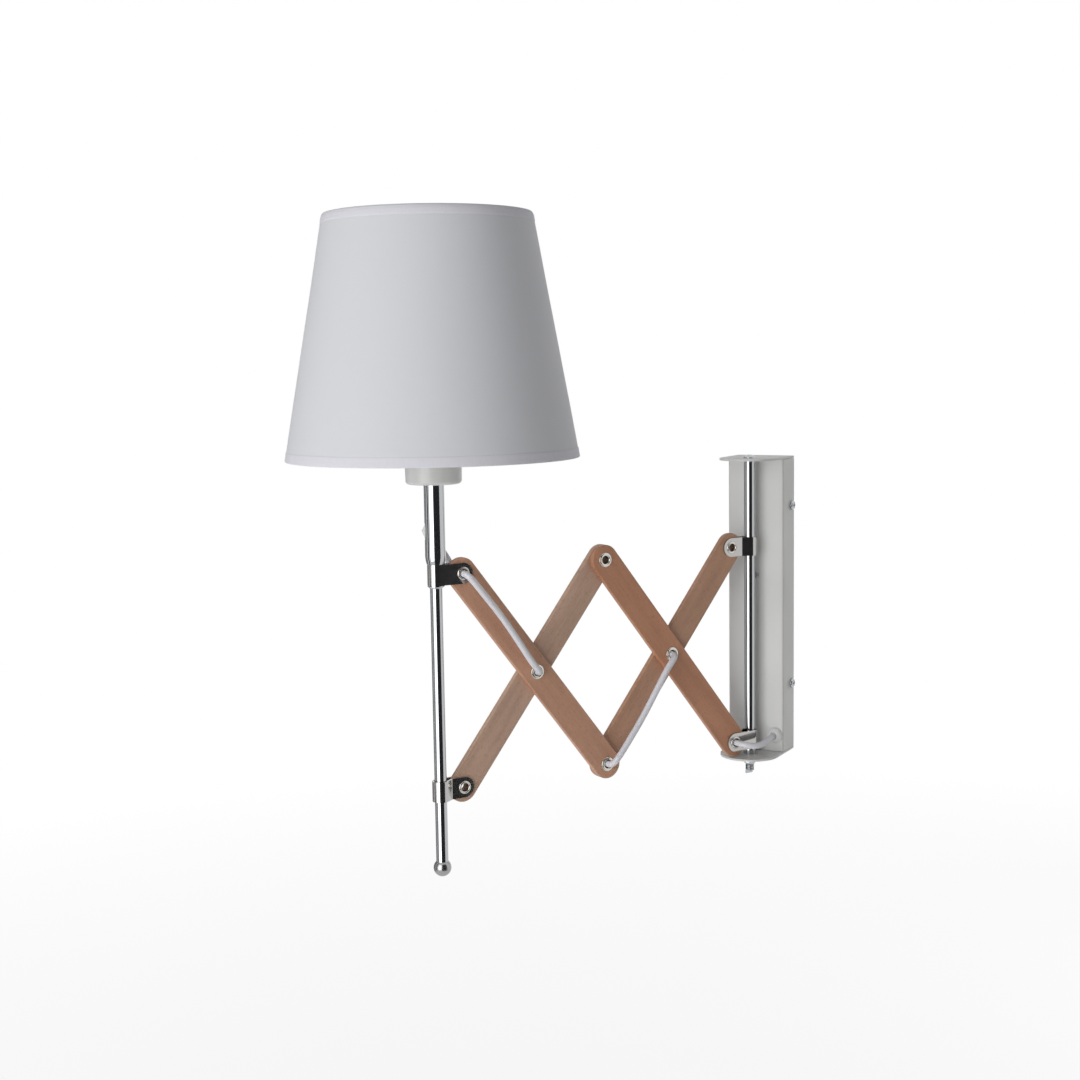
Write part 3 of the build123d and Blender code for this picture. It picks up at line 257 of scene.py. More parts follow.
def grain(tree, cell, detail=2.0, roughness=0.5, offset=(0, 0, 0)):
    """Noise in the object's own coordinates; cell gives the size of one patch along X, Y and Z in mm."""
    coordinates = add_node(tree, "ShaderNodeTexCoord")
    scale = [1 / (size * MM) for size in cell]
    mapping = add_node(tree, "ShaderNodeMapping", inputs={
        "Vector": coordinates.outputs["Object"], "Scale": scale, "Location": offset})
    return add_node(tree, "ShaderNodeTexNoise", inputs={
        "Vector": mapping.outputs["Vector"], "Scale": 1.0, "Detail": detail, "Roughness": roughness}).outputs["Fac"]


def ranged(tree, value, low, high, to_low, to_high):
    """Maps a value from one range to another and clamps it."""
    return add_node(tree, "ShaderNodeMapRange", inputs={
        "Value": value, "From Min": low, "From Max": high, "To Min": to_low, "To Max": to_high}).outputs["Result"]


def blended(tree, factor, first, second):
    """Mixes two colours, each a socket or a value."""
    mix = add_node(tree, "ShaderNodeMix", {"data_type": "RGBA"})
    for socket, value in ((mix.inputs[0], factor), (mix.inputs[6], first), (mix.inputs[7], second)):
        if isinstance(value, bpy.types.NodeSocket):
            tree.links.new(value, socket)
        else:
            socket.default_value = value
    return mix.outputs[2]


def bumped(tree, height, depth, strength=1.0):
    """A bump from a height of 0 to 1 that stands for a depth in mm."""
    return add_node(tree, "ShaderNodeBump", inputs={
        "Height": height, "Distance": depth * MM, "Strength": strength}).outputs["Normal"]


@made_once
def powder_coated_steel(tree, settings):
    """Sheet steel with a baked powder coat: a satin skin with faint orange peel, a little uneven in gloss."""
    peel = settings.orange_peel / MM
    ripple = grain(tree, (peel, peel, peel), 3)
    drift = grain(tree, (38, 38, 38), 1)
    colour = blended(tree, ranged(tree, drift, 0.35, 0.65, 0, 1), settings.paint[:],
                     tuple(c * 0.96 for c in settings.paint[:3]) + (1.0,))
    return add_node(tree, "ShaderNodeBsdfPrincipled", inputs={
        "Base Color": colour, "Roughness": ranged(tree, drift, 0.3, 0.7, 0.36, 0.46),
        "IOR": 1.5, "Normal": bumped(tree, ripple, 0.02, 0.5)})


@made_once
def polished_chrome(tree):
    """Chromed steel rod, buffed: mirror-like, with hair-fine wiping marks that soften it a touch."""
    marks = grain(tree, (1.5, 1.5, 40), 2)
    return add_node(tree, "ShaderNodeBsdfPrincipled", inputs={
        "Base Color": linear("#B6B8BA"), "Metallic": 1.0, "Roughness": ranged(tree, marks, 0.35, 0.7, 0.06, 0.1)})


@made_once
def chromed_strap(tree):
    """Rolled steel strap, bent and then chromed without much buffing: bright and clear, faintly grained."""
    rolling = grain(tree, (14, 14, 0.6), 2)
    return add_node(tree, "ShaderNodeBsdfPrincipled", inputs={
        "Base Color": linear("#B4B3B1"), "Metallic": 1.0, "Roughness": ranged(tree, rolling, 0.3, 0.7, 0.06, 0.12),
        "Normal": bumped(tree, rolling, 0.002, 0.3)})


@made_once
def tumbled_nickel(tree):
    """Ball turned from steel bar, tumbled and nickelled to a satin finish; its grey is darker than the buffed rods as a
    painted reflection of dark surroundings.
    """
    haze = grain(tree, (1.0, 1.0, 1.0), 3)
    return add_node(tree, "ShaderNodeBsdfPrincipled", inputs={
        "Base Color": linear("#A2A2A3"), "Metallic": 1.0, "Roughness": ranged(tree, haze, 0.3, 0.7, 0.18, 0.3)})


@made_once
def dull_bore(tree):
    """Inside of a hollow rivet, where plating throws badly: dull, and painted brown and dark as a reflection of the
    beech around it and as shade in the bore.
    """
    reflection_mottle = grain(tree, (0.8, 0.8, 0.8), 3)
    return add_node(tree, "ShaderNodeBsdfPrincipled", inputs={
        "Base Color": blended(tree, ranged(tree, reflection_mottle, 0.3, 0.7, 0, 1), linear("#94796B"), linear("#6A564B")),
        "Metallic": 1.0, "Roughness": 0.5})


@made_once
def nickelled_rivet(tree):
    """Drawn brass rivet, nickel-plated: smooth and bright, slightly warm, with burnished rolling marks."""
    marks = grain(tree, (1.2, 1.2, 1.2), 2)
    return add_node(tree, "ShaderNodeBsdfPrincipled", inputs={
        "Base Color": linear("#CFCCC4"), "Metallic": 1.0, "Roughness": ranged(tree, marks, 0.3, 0.7, 0.12, 0.22)})


@made_once
def zinc_plated_steel(tree):
    """Small screws and nuts in bright zinc: a bluish grey metal with a mottled satin gloss."""
    mottle = grain(tree, (0.7, 0.7, 0.7), 3)
    colour = blended(tree, ranged(tree, mottle, 0.35, 0.65, 0, 1), linear("#A9ACB0"), linear("#C2C4C6"))
    return add_node(tree, "ShaderNodeBsdfPrincipled", inputs={
        "Base Color": colour, "Metallic": 1.0, "Roughness": ranged(tree, mottle, 0.3, 0.7, 0.14, 0.24)})


@made_once
def drawn_brass(tree):
    """Turned and drawn brass of the contacts and the nipple: warm, with fine rings of tool marks."""
    rings = grain(tree, (20, 20, 0.3), 2)
    return add_node(tree, "ShaderNodeBsdfPrincipled", inputs={
        "Base Color": linear("#D9B25F"), "Metallic": 1.0, "Roughness": ranged(tree, rings, 0.3, 0.7, 0.18, 0.32)})


@made_once
def steamed_beech(tree, wood_colour, fleck_colour, offset):
    """Steamed beech, planed, sanded and sealed with a thin satin lacquer, the grain along the object's X.

    The eye sees a warm pinkish tan with soft bands along the slat, close fine lines, and the short dark flecks
    of the wood's rays, real ones of about 2 by 0.3 mm drawn half as large again so that they show. Each slat
    comes from its own plank, with its own tone and bands."""
    bands = grain(tree, (120, 6, 30), 2, 0.45, offset)
    lines = grain(tree, (30, 0.6, 0.9), 4, 0.6, offset)
    flecks = grain(tree, (3.1, 0.42, 0.7), 1, 0.4, offset)
    patches = grain(tree, (40, 16, 40), 2, 0.5, offset)
    darker = tuple(c * 0.8 for c in wood_colour[:3]) + (1.0,)
    paler = tuple(min(1, c * 1.18 + 0.02) for c in wood_colour[:3]) + (1.0,)
    wood = blended(tree, ranged(tree, bands, 0.4, 0.66, 0, 0.55), wood_colour[:], darker)
    wood = blended(tree, ranged(tree, patches, 0.42, 0.7, 0, 0.5), wood, paler)
    wood = blended(tree, ranged(tree, lines, 0.52, 0.78, 0, 0.3), wood, fleck_colour[:])
    wood = blended(tree, ranged(tree, flecks, 0.6, 0.7, 0, 0.5), wood, fleck_colour[:])
    return add_node(tree, "ShaderNodeBsdfPrincipled", inputs={
        "Base Color": wood, "Roughness": ranged(tree, lines, 0.3, 0.7, 0.42, 0.55), "IOR": 1.5,
        "Coat Weight": 0.12, "Coat Roughness": 0.35, "Normal": bumped(tree, lines, 0.03, 0.5)})


@made_once
def extruded_pvc(tree, settings):
    """Cord sheath, extruded in soft PVC: milky white with a dull gloss and faint drawing lines."""
    wander = grain(tree, (2.5, 2.5, 2.5), 2)
    return add_node(tree, "ShaderNodeBsdfPrincipled", inputs={
        "Base Color": settings.sheath[:], "Roughness": ranged(tree, wander, 0.3, 0.7, 0.34, 0.46), "IOR": 1.53,
        "Normal": bumped(tree, wander, 0.02, 0.3)})


@made_once
def moulded_thermoset(tree):
    """Holder, switch and block, moulded in warm white thermoset: even, with a soft gloss and a fine moulded grain."""
    skin = grain(tree, (0.8, 0.8, 0.8), 2)
    cloud = grain(tree, (16, 16, 16), 1)
    colour = blended(tree, ranged(tree, cloud, 0.35, 0.65, 0, 1), linear("#E6E6E5"), linear("#E0E0DF"))
    return add_node(tree, "ShaderNodeBsdfPrincipled", inputs={
        "Base Color": colour, "Roughness": ranged(tree, skin, 0.3, 0.7, 0.3, 0.4), "IOR": 1.5,
        "Normal": bumped(tree, skin, 0.015, 0.4)})


@made_once
def moulded_nylon(tree):
    """Cable grommet and bush, moulded in white nylon: slightly waxy, with a low gloss."""
    skin = grain(tree, (1.4, 1.4, 1.4), 2)
    return add_node(tree, "ShaderNodeBsdfPrincipled", inputs={
        "Base Color": linear("#E6E6E4"), "Roughness": ranged(tree, skin, 0.3, 0.7, 0.34, 0.44), "IOR": 1.53,
        "Subsurface Weight": 0.1, "Subsurface Radius": (0.9, 0.9, 0.85), "Subsurface Scale": 1.0 * MM})


@made_once
def glazed_porcelain(tree):
    """Holder core, pressed and glazed steatite: cream white with a glassy coat."""
    body = grain(tree, (3, 3, 3), 2)
    colour = blended(tree, ranged(tree, body, 0.4, 0.6, 0, 1), linear("#E9E6DC"), linear("#E2DED2"))
    return add_node(tree, "ShaderNodeBsdfPrincipled", inputs={
        "Base Color": colour, "Roughness": 0.22, "IOR": 1.52, "Coat Weight": 0.6, "Coat Roughness": 0.05})


@made_once
def enamelled_wire(tree):
    """Shade wires in white stoved enamel: a thin glossy skin with slight sags."""
    sags = grain(tree, (5, 5, 5), 2)
    return add_node(tree, "ShaderNodeBsdfPrincipled", inputs={
        "Base Color": linear("#E4E4E2"), "Roughness": ranged(tree, sags, 0.3, 0.7, 0.25, 0.38), "IOR": 1.5,
        "Normal": bumped(tree, sags, 0.05, 0.5)})


def weave(tree, spacing):
    """Height of a plain weave on a cone about the object's Z: threads round it and threads up it."""
    place = add_node(tree, "ShaderNodeSeparateXYZ", inputs={
        "Vector": add_node(tree, "ShaderNodeTexCoord").outputs["Object"]})
    angle = add_node(tree, "ShaderNodeMath", {"operation": "ARCTAN2"}, {
        0: place.outputs["Y"], 1: place.outputs["X"]}).outputs[0]
    threads_round = tau * 86 * MM / spacing
    round_wave = add_node(tree, "ShaderNodeMath", {"operation": "MULTIPLY"}, {0: angle, 1: round(threads_round) / 2.0})
    up_wave = add_node(tree, "ShaderNodeMath", {"operation": "MULTIPLY"}, {0: place.outputs["Z"], 1: pi / spacing})
    sines = [add_node(tree, "ShaderNodeMath", {"operation": "SINE"}, {0: wave.outputs[0]}).outputs[0]
             for wave in (round_wave, up_wave)]
    product = add_node(tree, "ShaderNodeMath", {"operation": "MULTIPLY"}, {0: sines[0], 1: sines[1]}).outputs[0]
    return ranged(tree, product, -1, 1, 0, 1)


@made_once
def woven_shade_cotton(tree, settings):
    """Cotton in a plain weave, laminated to a stiff lining.

    The real threads lie about 0.4 mm apart, too fine to show, so they are drawn 0.9 mm apart and very shallow:
    the eye sees a matt, almost smooth cloth, cool white, with a few slubs."""
    threads = weave(tree, settings.thread)
    slubs = grain(tree, (9, 9, 0.8), 3, 0.6)
    shade_colour = blended(tree, ranged(tree, slubs, 0.5, 0.8, 0, 0.15), settings.fabric[:], linear("#D3D4D9"))
    # the weave's low points are drawn up to a tenth darker: painted shade in the weave's hollows
    shade_colour = blended(tree, ranged(tree, threads, 0, 1, 0.1, 0), shade_colour, linear("#C4C6CE"))
    return add_node(tree, "ShaderNodeBsdfPrincipled", inputs={
        "Base Color": shade_colour, "Roughness": 0.86, "IOR": 1.45, "Specular IOR Level": 0.3,
        "Sheen Weight": 0.18, "Sheen Roughness": 0.5, "Normal": bumped(tree, threads, 0.03, 0.35)})


@made_once
def hem_tape(tree, settings):
    """The same cotton folded and glued over each wire ring: a shade cooler, with a faint crossways rib."""
    rib = grain(tree, (1.2, 1.2, 9), 2)
    colour = blended(tree, ranged(tree, rib, 0.4, 0.7, 0, 0.5), linear("#E2E2E8"), linear("#DDDDE4"))
    return add_node(tree, "ShaderNodeBsdfPrincipled", inputs={
        "Base Color": colour, "Roughness": 0.85, "IOR": 1.45, "Specular IOR Level": 0.3,
        "Normal": bumped(tree, rib, 0.05, 0.5)})


@made_once
def styrene_lining(tree):
    """Stiff white styrene behind the fabric: smooth, with a dull gloss and slight rippling."""
    ripple = grain(tree, (18, 18, 30), 1)
    return add_node(tree, "ShaderNodeBsdfPrincipled", inputs={
        "Base Color": linear("#E8E8E6"), "Roughness": ranged(tree, ripple, 0.3, 0.7, 0.42, 0.52), "IOR": 1.55,
        "Normal": bumped(tree, ripple, 0.15, 0.4)})


@made_once
def spun_aluminium(tree):
    """Bulb cap in pressed aluminium: pale, satin, with rings from forming."""
    rings = grain(tree, (18, 18, 0.4), 2)
    return add_node(tree, "ShaderNodeBsdfPrincipled", inputs={
        "Base Color": linear("#C9CACC"), "Metallic": 1.0, "Roughness": ranged(tree, rings, 0.3, 0.7, 0.25, 0.4)})


@made_once
def opal_glass(tree):
    """Bulb of opal glass, blown and coated inside: milky white under a clear gloss."""
    cloud = grain(tree, (12, 12, 12), 2)
    colour = blended(tree, ranged(tree, cloud, 0.35, 0.65, 0, 1), linear("#F1F1EE"), linear("#EBEBE7"))
    return add_node(tree, "ShaderNodeBsdfPrincipled", inputs={
        "Base Color": colour, "Roughness": 0.12, "IOR": 1.5, "Subsurface Weight": 0.4,
        "Subsurface Radius": (1.0, 1.0, 0.95), "Subsurface Scale": 3.0 * MM,
        "Coat Weight": 0.3, "Coat Roughness": 0.04})


@made_once
def seamless_paper(tree, settings):
    """Background paper: matt and pale. Seen directly or in metal it shows as plain white with a trace of shadow."""
    fibre = grain(tree, (3, 3, 3), 2)
    paper = add_node(tree, "ShaderNodeBsdfPrincipled", inputs={
        "Base Color": settings.floor[:], "Roughness": ranged(tree, fibre, 0.3, 0.7, 0.8, 0.95)})
    white = add_node(tree, "ShaderNodeEmission", inputs={"Color": (1, 1, 1, 1), "Strength": 1.0})
    place = add_node(tree, "ShaderNodeTexCoord").outputs["Object"]
    away = add_node(tree, "ShaderNodeVectorMath", {"operation": "LENGTH"}, {0: place}).outputs["Value"]
    share = add_node(tree, "ShaderNodeMath", {"operation": "MULTIPLY"}, {
        0: seen_rays(tree), 1: ranged(tree, away, 0.8, 2.4, 0.86, 1)}).outputs[0]
    return add_node(tree, "ShaderNodeMixShader", inputs={0: share, 1: paper.outputs[0], 2: white.outputs[0]})


@made_once
def black_felt(tree):
    """Studio flag of black felt: it only gives polished metal its dark bands."""
    nap = grain(tree, (2, 2, 2), 2)
    return add_node(tree, "ShaderNodeBsdfPrincipled", inputs={
        "Base Color": blended(tree, nap, linear("#38383A"), linear("#424244")), "Roughness": 0.95})


@made_once
def grey_card(tree):
    """Studio card in mid grey: it only gives polished metal its softer band."""
    grit = grain(tree, (2, 2, 2), 2)
    return add_node(tree, "ShaderNodeBsdfPrincipled", inputs={
        "Base Color": blended(tree, grit, linear("#C0C0C2"), linear("#C8C8CA")), "Roughness": 0.95})


def seen_rays(tree):
    """1 for camera, glossy and transmission rays, else 0."""
    path = add_node(tree, "ShaderNodeLightPath").outputs
    highest = path["Is Camera Ray"]
    for other in ("Is Glossy Ray", "Is Transmission Ray"):
        highest = add_node(tree, "ShaderNodeMath", {"operation": "MAXIMUM"}, {0: highest, 1: path[other]}).outputs[0]
    return highest


# ---------------------------------------------------------------- meshes
def placed(name, mesh, matrix):
    """A new object with a mesh, at a place."""
    piece = bpy.data.objects.new(name, mesh)
    bpy.context.scene.collection.objects.link(piece)
    piece.matrix_world = matrix
    return piece


def evaluated(piece):
    """Turns a curve, or a mesh with modifiers, into a plain mesh under the same name."""
    bpy.context.view_layer.update()
    mesh = bpy.data.meshes.new_from_object(piece.evaluated_get(bpy.context.evaluated_depsgraph_get()))
    name, matrix = piece.name, piece.matrix_world.copy()
    bpy.data.objects.remove(piece)
    return placed(name, mesh, matrix)


def dress(piece, material, slot, *replaced, crease=35):
    """Gives a piece its material and smooth shading, and hides the CAD nodes that it stands for. slot is not used."""
    piece.data.materials.clear()
    piece.data.materials.append(material)
    piece.data.shade_smooth()
    piece.data.set_sharp_from_angle(angle=radians(crease))
    if replaced:
        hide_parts(*replaced)
    return piece


def repaint(material, *nodes):
    """Gives carried-over CAD nodes a material."""
    for node in nodes:
        for material_slot in NODES[node].material_slots:
            material_slot.material = material


def eased(outline, radius, steps=5):
    """A closed outline with its corners rounded; radius is how far from a corner the rounding starts."""
    rounded = []
    points = [Vector(point) for point in outline]
    for before, corner, after in zip(points[-1:] + points[:-1], points, points[1:] + points[:1]):
        to_before, to_after = before - corner, after - corner
        straight = to_before.length < 1e-7 or to_after.length < 1e-7 or corner.x < 1e-6
        if straight or abs(abs(to_before.normalized().dot(to_after.normalized())) - 1) < 1e-4:
            rounded.append(corner)
            continue
        start = corner + to_before.normalized() * min(radius, to_before.length * 0.45)
        end = corner + to_after.normalized() * min(radius, to_after.length * 0.45)
        for i in range(steps + 1):
            t = i / steps
            rounded.append(start * (1 - t) ** 2 + corner * 2 * t * (1 - t) + end * t ** 2)
    return [tuple(point) for point in rounded]


def turned(name, outline, matrix, columns=96, shift=None):
    """A turned piece: a closed outline of (radius, height) about Z. shift may move each vertex."""
    shape = bmesh.new()
    rings = []
    for radius, height in outline:
        count = 1 if radius < 1e-6 else columns
        rings.append([shape.verts.new((radius * cos(tau * i / count), radius * sin(tau * i / count), height))
                      for i in range(count)])
    for ring, following in zip(rings, rings[1:] + rings[:1]):
        if len(ring) == 1 and len(following) == 1:
            continue
        for i in range(columns):
            corners = [ring[i % len(ring)], ring[(i + 1) % len(ring)],
                       following[(i + 1) % len(following)], following[i % len(following)]]
            shape.faces.new(list(dict.fromkeys(corners)))
    bmesh.ops.recalc_face_normals(shape, faces=shape.faces)
    if shift:
        for vertex in shape.verts:
            vertex.co = shift(vertex.co)
    mesh = bpy.data.meshes.new(name)
    shape.to_mesh(mesh)
    shape.free()
    return placed(name, mesh, matrix)


def threaded(outline, low, high, radius, pitch, depth):
    """An outline whose upright run at a radius is cut into fine steps, and the shift that turns them into a
    helical thread."""
    rows = ceil((high - low) / (pitch / 6))
    result = []
    for (r0, z0), (r1, z1) in zip(outline, outline[1:] + outline[:1]):
        result.append((r0, z0))
        is_thread = abs(r0 - radius) < 1e-7 and abs(r1 - radius) < 1e-7 and abs(z1 - z0) > pitch
        if is_thread:
            result += [(radius, z0 + (z1 - z0) * i / rows) for i in range(1, rows)]

    def shift(point):
        away = hypot(point.x, point.y)
        if abs(away - radius) > 1e-6 or not low <= point.z <= high:
            return point
        turn = (point.z / pitch - atan2(point.y, point.x) / tau) % 1
        fade = min(1, (point.z - low) / pitch, (high - point.z) / pitch)
        cut = depth * fade * (1 - abs(2 * turn - 1))
        return Vector((point.x * (away - cut) / away, point.y * (away - cut) / away, point.z))
    return result, shift


def cut_out(piece, tool):
    """Subtracts a tool from a piece and removes the tool."""
    modifier = piece.modifiers.new("cut", "BOOLEAN")
    modifier.operation = "DIFFERENCE"
    modifier.solver = "MANIFOLD"
    modifier.object = tool
    result = evaluated(piece)
    bpy.data.objects.remove(tool)
    return result


def block(name, size, matrix):
    """A plain cutting block."""
    shape = bmesh.new()
    bmesh.ops.create_cube(shape, size=1, matrix=Matrix.Diagonal((*size, 1)))
    mesh = bpy.data.meshes.new(name)
    shape.to_mesh(mesh)
    shape.free()
    return placed(name, mesh, matrix)


def flat_piece(name, loops, thickness, ease, matrix):
    """A flat piece with eased edges from closed loops of points: the outline, then its holes."""
    curve = bpy.data.curves.new(name, "CURVE")
    curve.dimensions = "2D"
    curve.fill_mode = "BOTH"
    curve.extrude = thickness / 2 - ease
    curve.bevel_depth = ease
    curve.bevel_resolution = 3
    curve.offset = -ease
    for loop in loops:
        spline = curve.splines.new("POLY")
        spline.points.add(len(loop) - 1)
        spline.points.foreach_set("co", [value for x, y in loop for value in (x, y, 0, 1)])
        spline.use_cyclic_u = True
    piece = bpy.data.objects.new(name, curve)
    bpy.context.scene.collection.objects.link(piece)
    piece.matrix_world = matrix
    piece = evaluated(piece)
    normals = piece.modifiers.new("normals", "WEIGHTED_NORMAL")
    normals.weight = 100
    return piece


def circle(x, y, radius, count=48):
    """Points round a circle."""
    return [(x + radius * cos(tau * i / count), y + radius * sin(tau * i / count)) for i in range(count)]


# ---------------------------------------------------------------- cord routes, in metres
CORD_FOOT = 97 * MM                       # spacing of the rivets along a slat


def slat_place(place, rising):
    """Axes of a cord that follows a slat from a rivet: X along it, Y across it, Z out to the front."""
    angle = radians(52.0 if rising else -52.0)
    x = OUTWARD * cos(angle) + UP * sin(angle)
    return axes(place, x, UP * cos(angle) - OUTWARD * sin(angle), FRONT)


def routed(place, points):
    """Points given in millimetres in a place's axes."""
    return [place @ (Vector(point) * MM) for point in points]


def cord_piece(name, points, settings):
    """A cord: one smooth NURBS spline through the given route."""
    curve = bpy.data.curves.new(name, "CURVE")
    curve.dimensions = "3D"
    curve.bevel_depth = settings.diameter / 2
    curve.bevel_resolution = 7
    curve.resolution_u = 10
    curve.use_fill_caps = True
    spline = curve.splines.new("NURBS")
    spline.points.add(len(points) - 1)
    spline.points.foreach_set("co", [value for point in points for value in (*point, 1)])
    spline.order_u = 3
    spline.use_endpoint_u = True
    piece = bpy.data.objects.new(name, curve)
    bpy.context.scene.collection.objects.link(piece)
    piece = evaluated(piece)
    return dress(piece, extruded_pvc(settings), "cord_pvc", name.replace("flex_", "cord_"), crease=50)


# ---------------------------------------------------------------- operators
class MakeBracket(bpy.types.Operator):
    """Wall bracket: chassis, cover, screws, grommet and the terminal block inside"""
    bl_idname = "wall_lamp.make_bracket"
    bl_label = "Bracket"

    def execute(self, context):
        settings = context.scene.lamp_bracket
        repaint(powder_coated_steel(settings), "wall_chassis", "bracket_cover")
        repaint(moulded_nylon(), "cable_grommet")
        repaint(moulded_thermoset(), "terminal_block")
        repaint(drawn_brass(), "terminal_sleeves")
        repaint(zinc_plated_steel(), "terminal_screws")
        self.side_screws()
        self.front_screw()
        return {"FINISHED"}

    def side_screws(self):
        """One pan head at each of the four lugs, on the places of the CAD screws."""
        low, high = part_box("cover_side_screws")
        head = 3.7 * MM
        cover_low, cover_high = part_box("bracket_cover")
        depth = (low.y + high.y) / 2
        for level_name, level in (("upper", high.z - head), ("lower", low.z + head)):
            for side_name, x, turn in (("right", cover_high.x, 1), ("left", cover_low.x, -1)):
                place = along((turn, 0, 0), Vector((x, depth, level)))
                screw = pan_head(f"side_screw_{level_name}_{side_name}", head, 2.2 * MM, place)
                dress(screw, zinc_plated_steel(), "screw_zinc", "cover_side_screws")
                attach(screw, "root")

    def front_screw(self):
        """The small screw on the cover's front."""
        low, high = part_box("front_screw")
        cover_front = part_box("bracket_cover")[0].y
        head = (high.x - low.x) / 2
        place = along((0, -1, 0), Vector(((low.x + high.x) / 2, cover_front, (low.z + high.z) / 2)))
        screw = pan_head("cover_front_screw", head, cover_front - low.y, place)
        dress(screw, zinc_plated_steel(), "screw_zinc", "front_screw")
        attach(screw, "root")


def pan_head(name, radius, height, matrix):
    """Pan-head screw with a cross recess; Z points out of the head."""
    shank, length = 1.5 * MM, 4.5 * MM
    outline = [(0, -length), (shank * 0.8, -length), (shank, -length + 0.6 * MM), (shank, 0), (radius, 0),
               (radius, height * 0.45), (radius * 0.86, height * 0.86), (radius * 0.5, height), (0, height)]
    screw = turned(name, eased(outline, 0.35 * MM), matrix, 48)
    for turn in (0, pi / 2):
        arm = block("recess", (radius * 1.15, radius * 0.24, height), matrix @ Matrix.Rotation(turn, 4, "Z")
                    @ Matrix.Translation((0, 0, height * 0.95)))
        screw = cut_out(screw, arm)
    return screw


class MakeWallRod(bpy.types.Operator):
    """Chromed wall rod with its threaded, slotted foot, nut, collar and top screw"""
    bl_idname = "wall_lamp.make_wall_rod"
    bl_label = "Wall rod"

    def execute(self, context):
        settings = context.scene.lamp_bracket
        collar_low, collar_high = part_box("rod_foot_collar")
        shoulder = collar_low.z
        low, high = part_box("wall_rod")
        radius = (high.x - low.x) / 2
        self.rod(radius, shoulder, high.z)
        self.foot(settings, low.z, shoulder, 3.6 * MM)
        self.collar(radius, collar_low.z, collar_high.z, (collar_high.x - collar_low.x) / 2)
        self.nut()
        self.top_screw()
        return {"FINISHED"}

    def rod(self, radius, low, high):
        rod = turned("wall_rod_bar", eased([(0, low), (radius, low), (radius, high), (0, high)], 0.4 * MM), ROD_PLACE)
        dress(rod, polished_chrome(), "chrome", "wall_rod")
        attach(rod, "root")

    def foot(self, settings, low, high, radius):
        """Threaded foot with a slot across it and one prong cut shorter."""
        outline = [(0, low), (radius - 0.5 * MM, low), (radius, low + 0.5 * MM), (radius, high), (0, high)]
        outline, shift = threaded(outline, low + 0.5 * MM, high, radius, settings.thread_pitch,
                                  settings.thread_depth)
        stud = turned("rod_foot_stud", outline, ROD_PLACE, 72, shift)
        slot = block("slot", (4 * radius, settings.stud_slot, 18 * MM), ROD_PLACE @ Matrix.Translation((0, 0, low)))
        stud = cut_out(stud, slot)
        prong = block("prong", (4 * radius, 2 * radius, 5.6 * MM),
                      ROD_PLACE @ Matrix.Translation((0, radius, low)))
        stud = cut_out(stud, prong)
        dress(stud, zinc_plated_steel(), "chrome", "wall_rod")
        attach(stud, "root")

    def collar(self, bore, low, high, radius):
        outline = eased([(bore, low), (radius, low), (radius, high), (bore, high)], 0.35 * MM)
        collar = turned("rod_foot_sleeve", outline, ROD_PLACE)
        dress(collar, polished_chrome(), "chrome", "rod_foot_collar")
        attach(collar, "root")

    def nut(self):
        """The CAD nut keeps its coned hexagon."""
        repaint(zinc_plated_steel(), "rod_foot_nut")

    def top_screw(self):
        """Domed screw with a slot across its head."""
        low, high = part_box("rod_top_screw")
        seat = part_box("wall_chassis")[1].z
        radius = (high.x - low.x) / 2
        rise = high.z - seat
        dome = [(radius * sin(t), seat + rise * (cos(t) - 0.05) / 0.95) for t in
                [radians(angle) for angle in (84, 76, 66, 54, 42, 30, 18, 8)]]
        outline = [(0, low.z), (2.4 * MM, low.z), (2.4 * MM, seat), (radius, seat)] + dome + [(0, high.z)]
        screw = turned("rod_top_button", outline, ROD_PLACE, 64)
        slot = block("slot", (2 * radius, 1.1 * MM, 1.6 * MM),
                     ROD_PLACE @ Matrix.Rotation(0.7, 4, "Z") @ Matrix.Translation((0, 0, high.z)))
        screw = cut_out(screw, slot)
        dress(screw, zinc_plated_steel(), "screw_zinc", "rod_top_screw")
        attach(screw, "root")


SLATS = {                                   # body, lower or upper end's pivot, middle pivot, part of the plank
    "wall_front": ("wall_front_slat", WALL_LOWER, CROSS_WALL, (1.3, 7.1, 2.0)),
    "wall_rear": ("wall_rear_slat", WALL_UPPER, CROSS_WALL, (4.6, 2.4, 5.0)),
    "lamp_front": ("lamp_front_slat", JOINT_BOTTOM, CROSS_LAMP, (8.2, 5.7, 1.0)),
    "lamp_rear": ("lamp_rear_slat", JOINT_TOP, CROSS_LAMP, (2.9, 9.3, 7.0)),
}


class MakeSlats(bpy.types.Operator):
    """Four beech slats with round ends, eased edges and three rivet holes each"""
    bl_idname = "wall_lamp.make_slats"
    bl_label = "Slats"

    def execute(self, context):
        settings = context.scene.lamp_scissor
        for place, (body, foot, middle, offset) in SLATS.items():
            wood = steamed_beech(getattr(settings, f"wood_{place}"), settings.fleck, offset, variant=f"_{place}")
            self.slat(place, body, foot, middle, wood, settings)
        return {"FINISHED"}

    def slat(self, name, body, foot, middle, wood, settings):
        node = f"slat_{name}"
        lengthways = (middle - foot).normalized()
        across = FRONT.cross(lengthways)
        spacing = (middle - foot).length
        low, high = span(node, middle, FRONT)
        half_width = (span(node, middle, across)[1] - span(node, middle, across)[0]) / 2
        outline = []
        for end, start in ((1, -pi / 2), (-1, pi / 2)):
            outline += [(end * spacing + half_width * cos(start + pi * i / 32), half_width * sin(start + pi * i / 32))
                        for i in range(33)]
        holes = [circle(x, 0, settings.rivet_hole / 2) for x in (-spacing, 0, spacing)]
        place = axes(middle + FRONT * (low + high) / 2, lengthways, across, FRONT)
        piece = flat_piece(f"beech_slat_{name}", [outline] + holes, high - low, settings.slat_ease, place)
        piece = evaluated(piece)
        dress(piece, wood, "beech", node, crease=40)
        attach(piece, body)


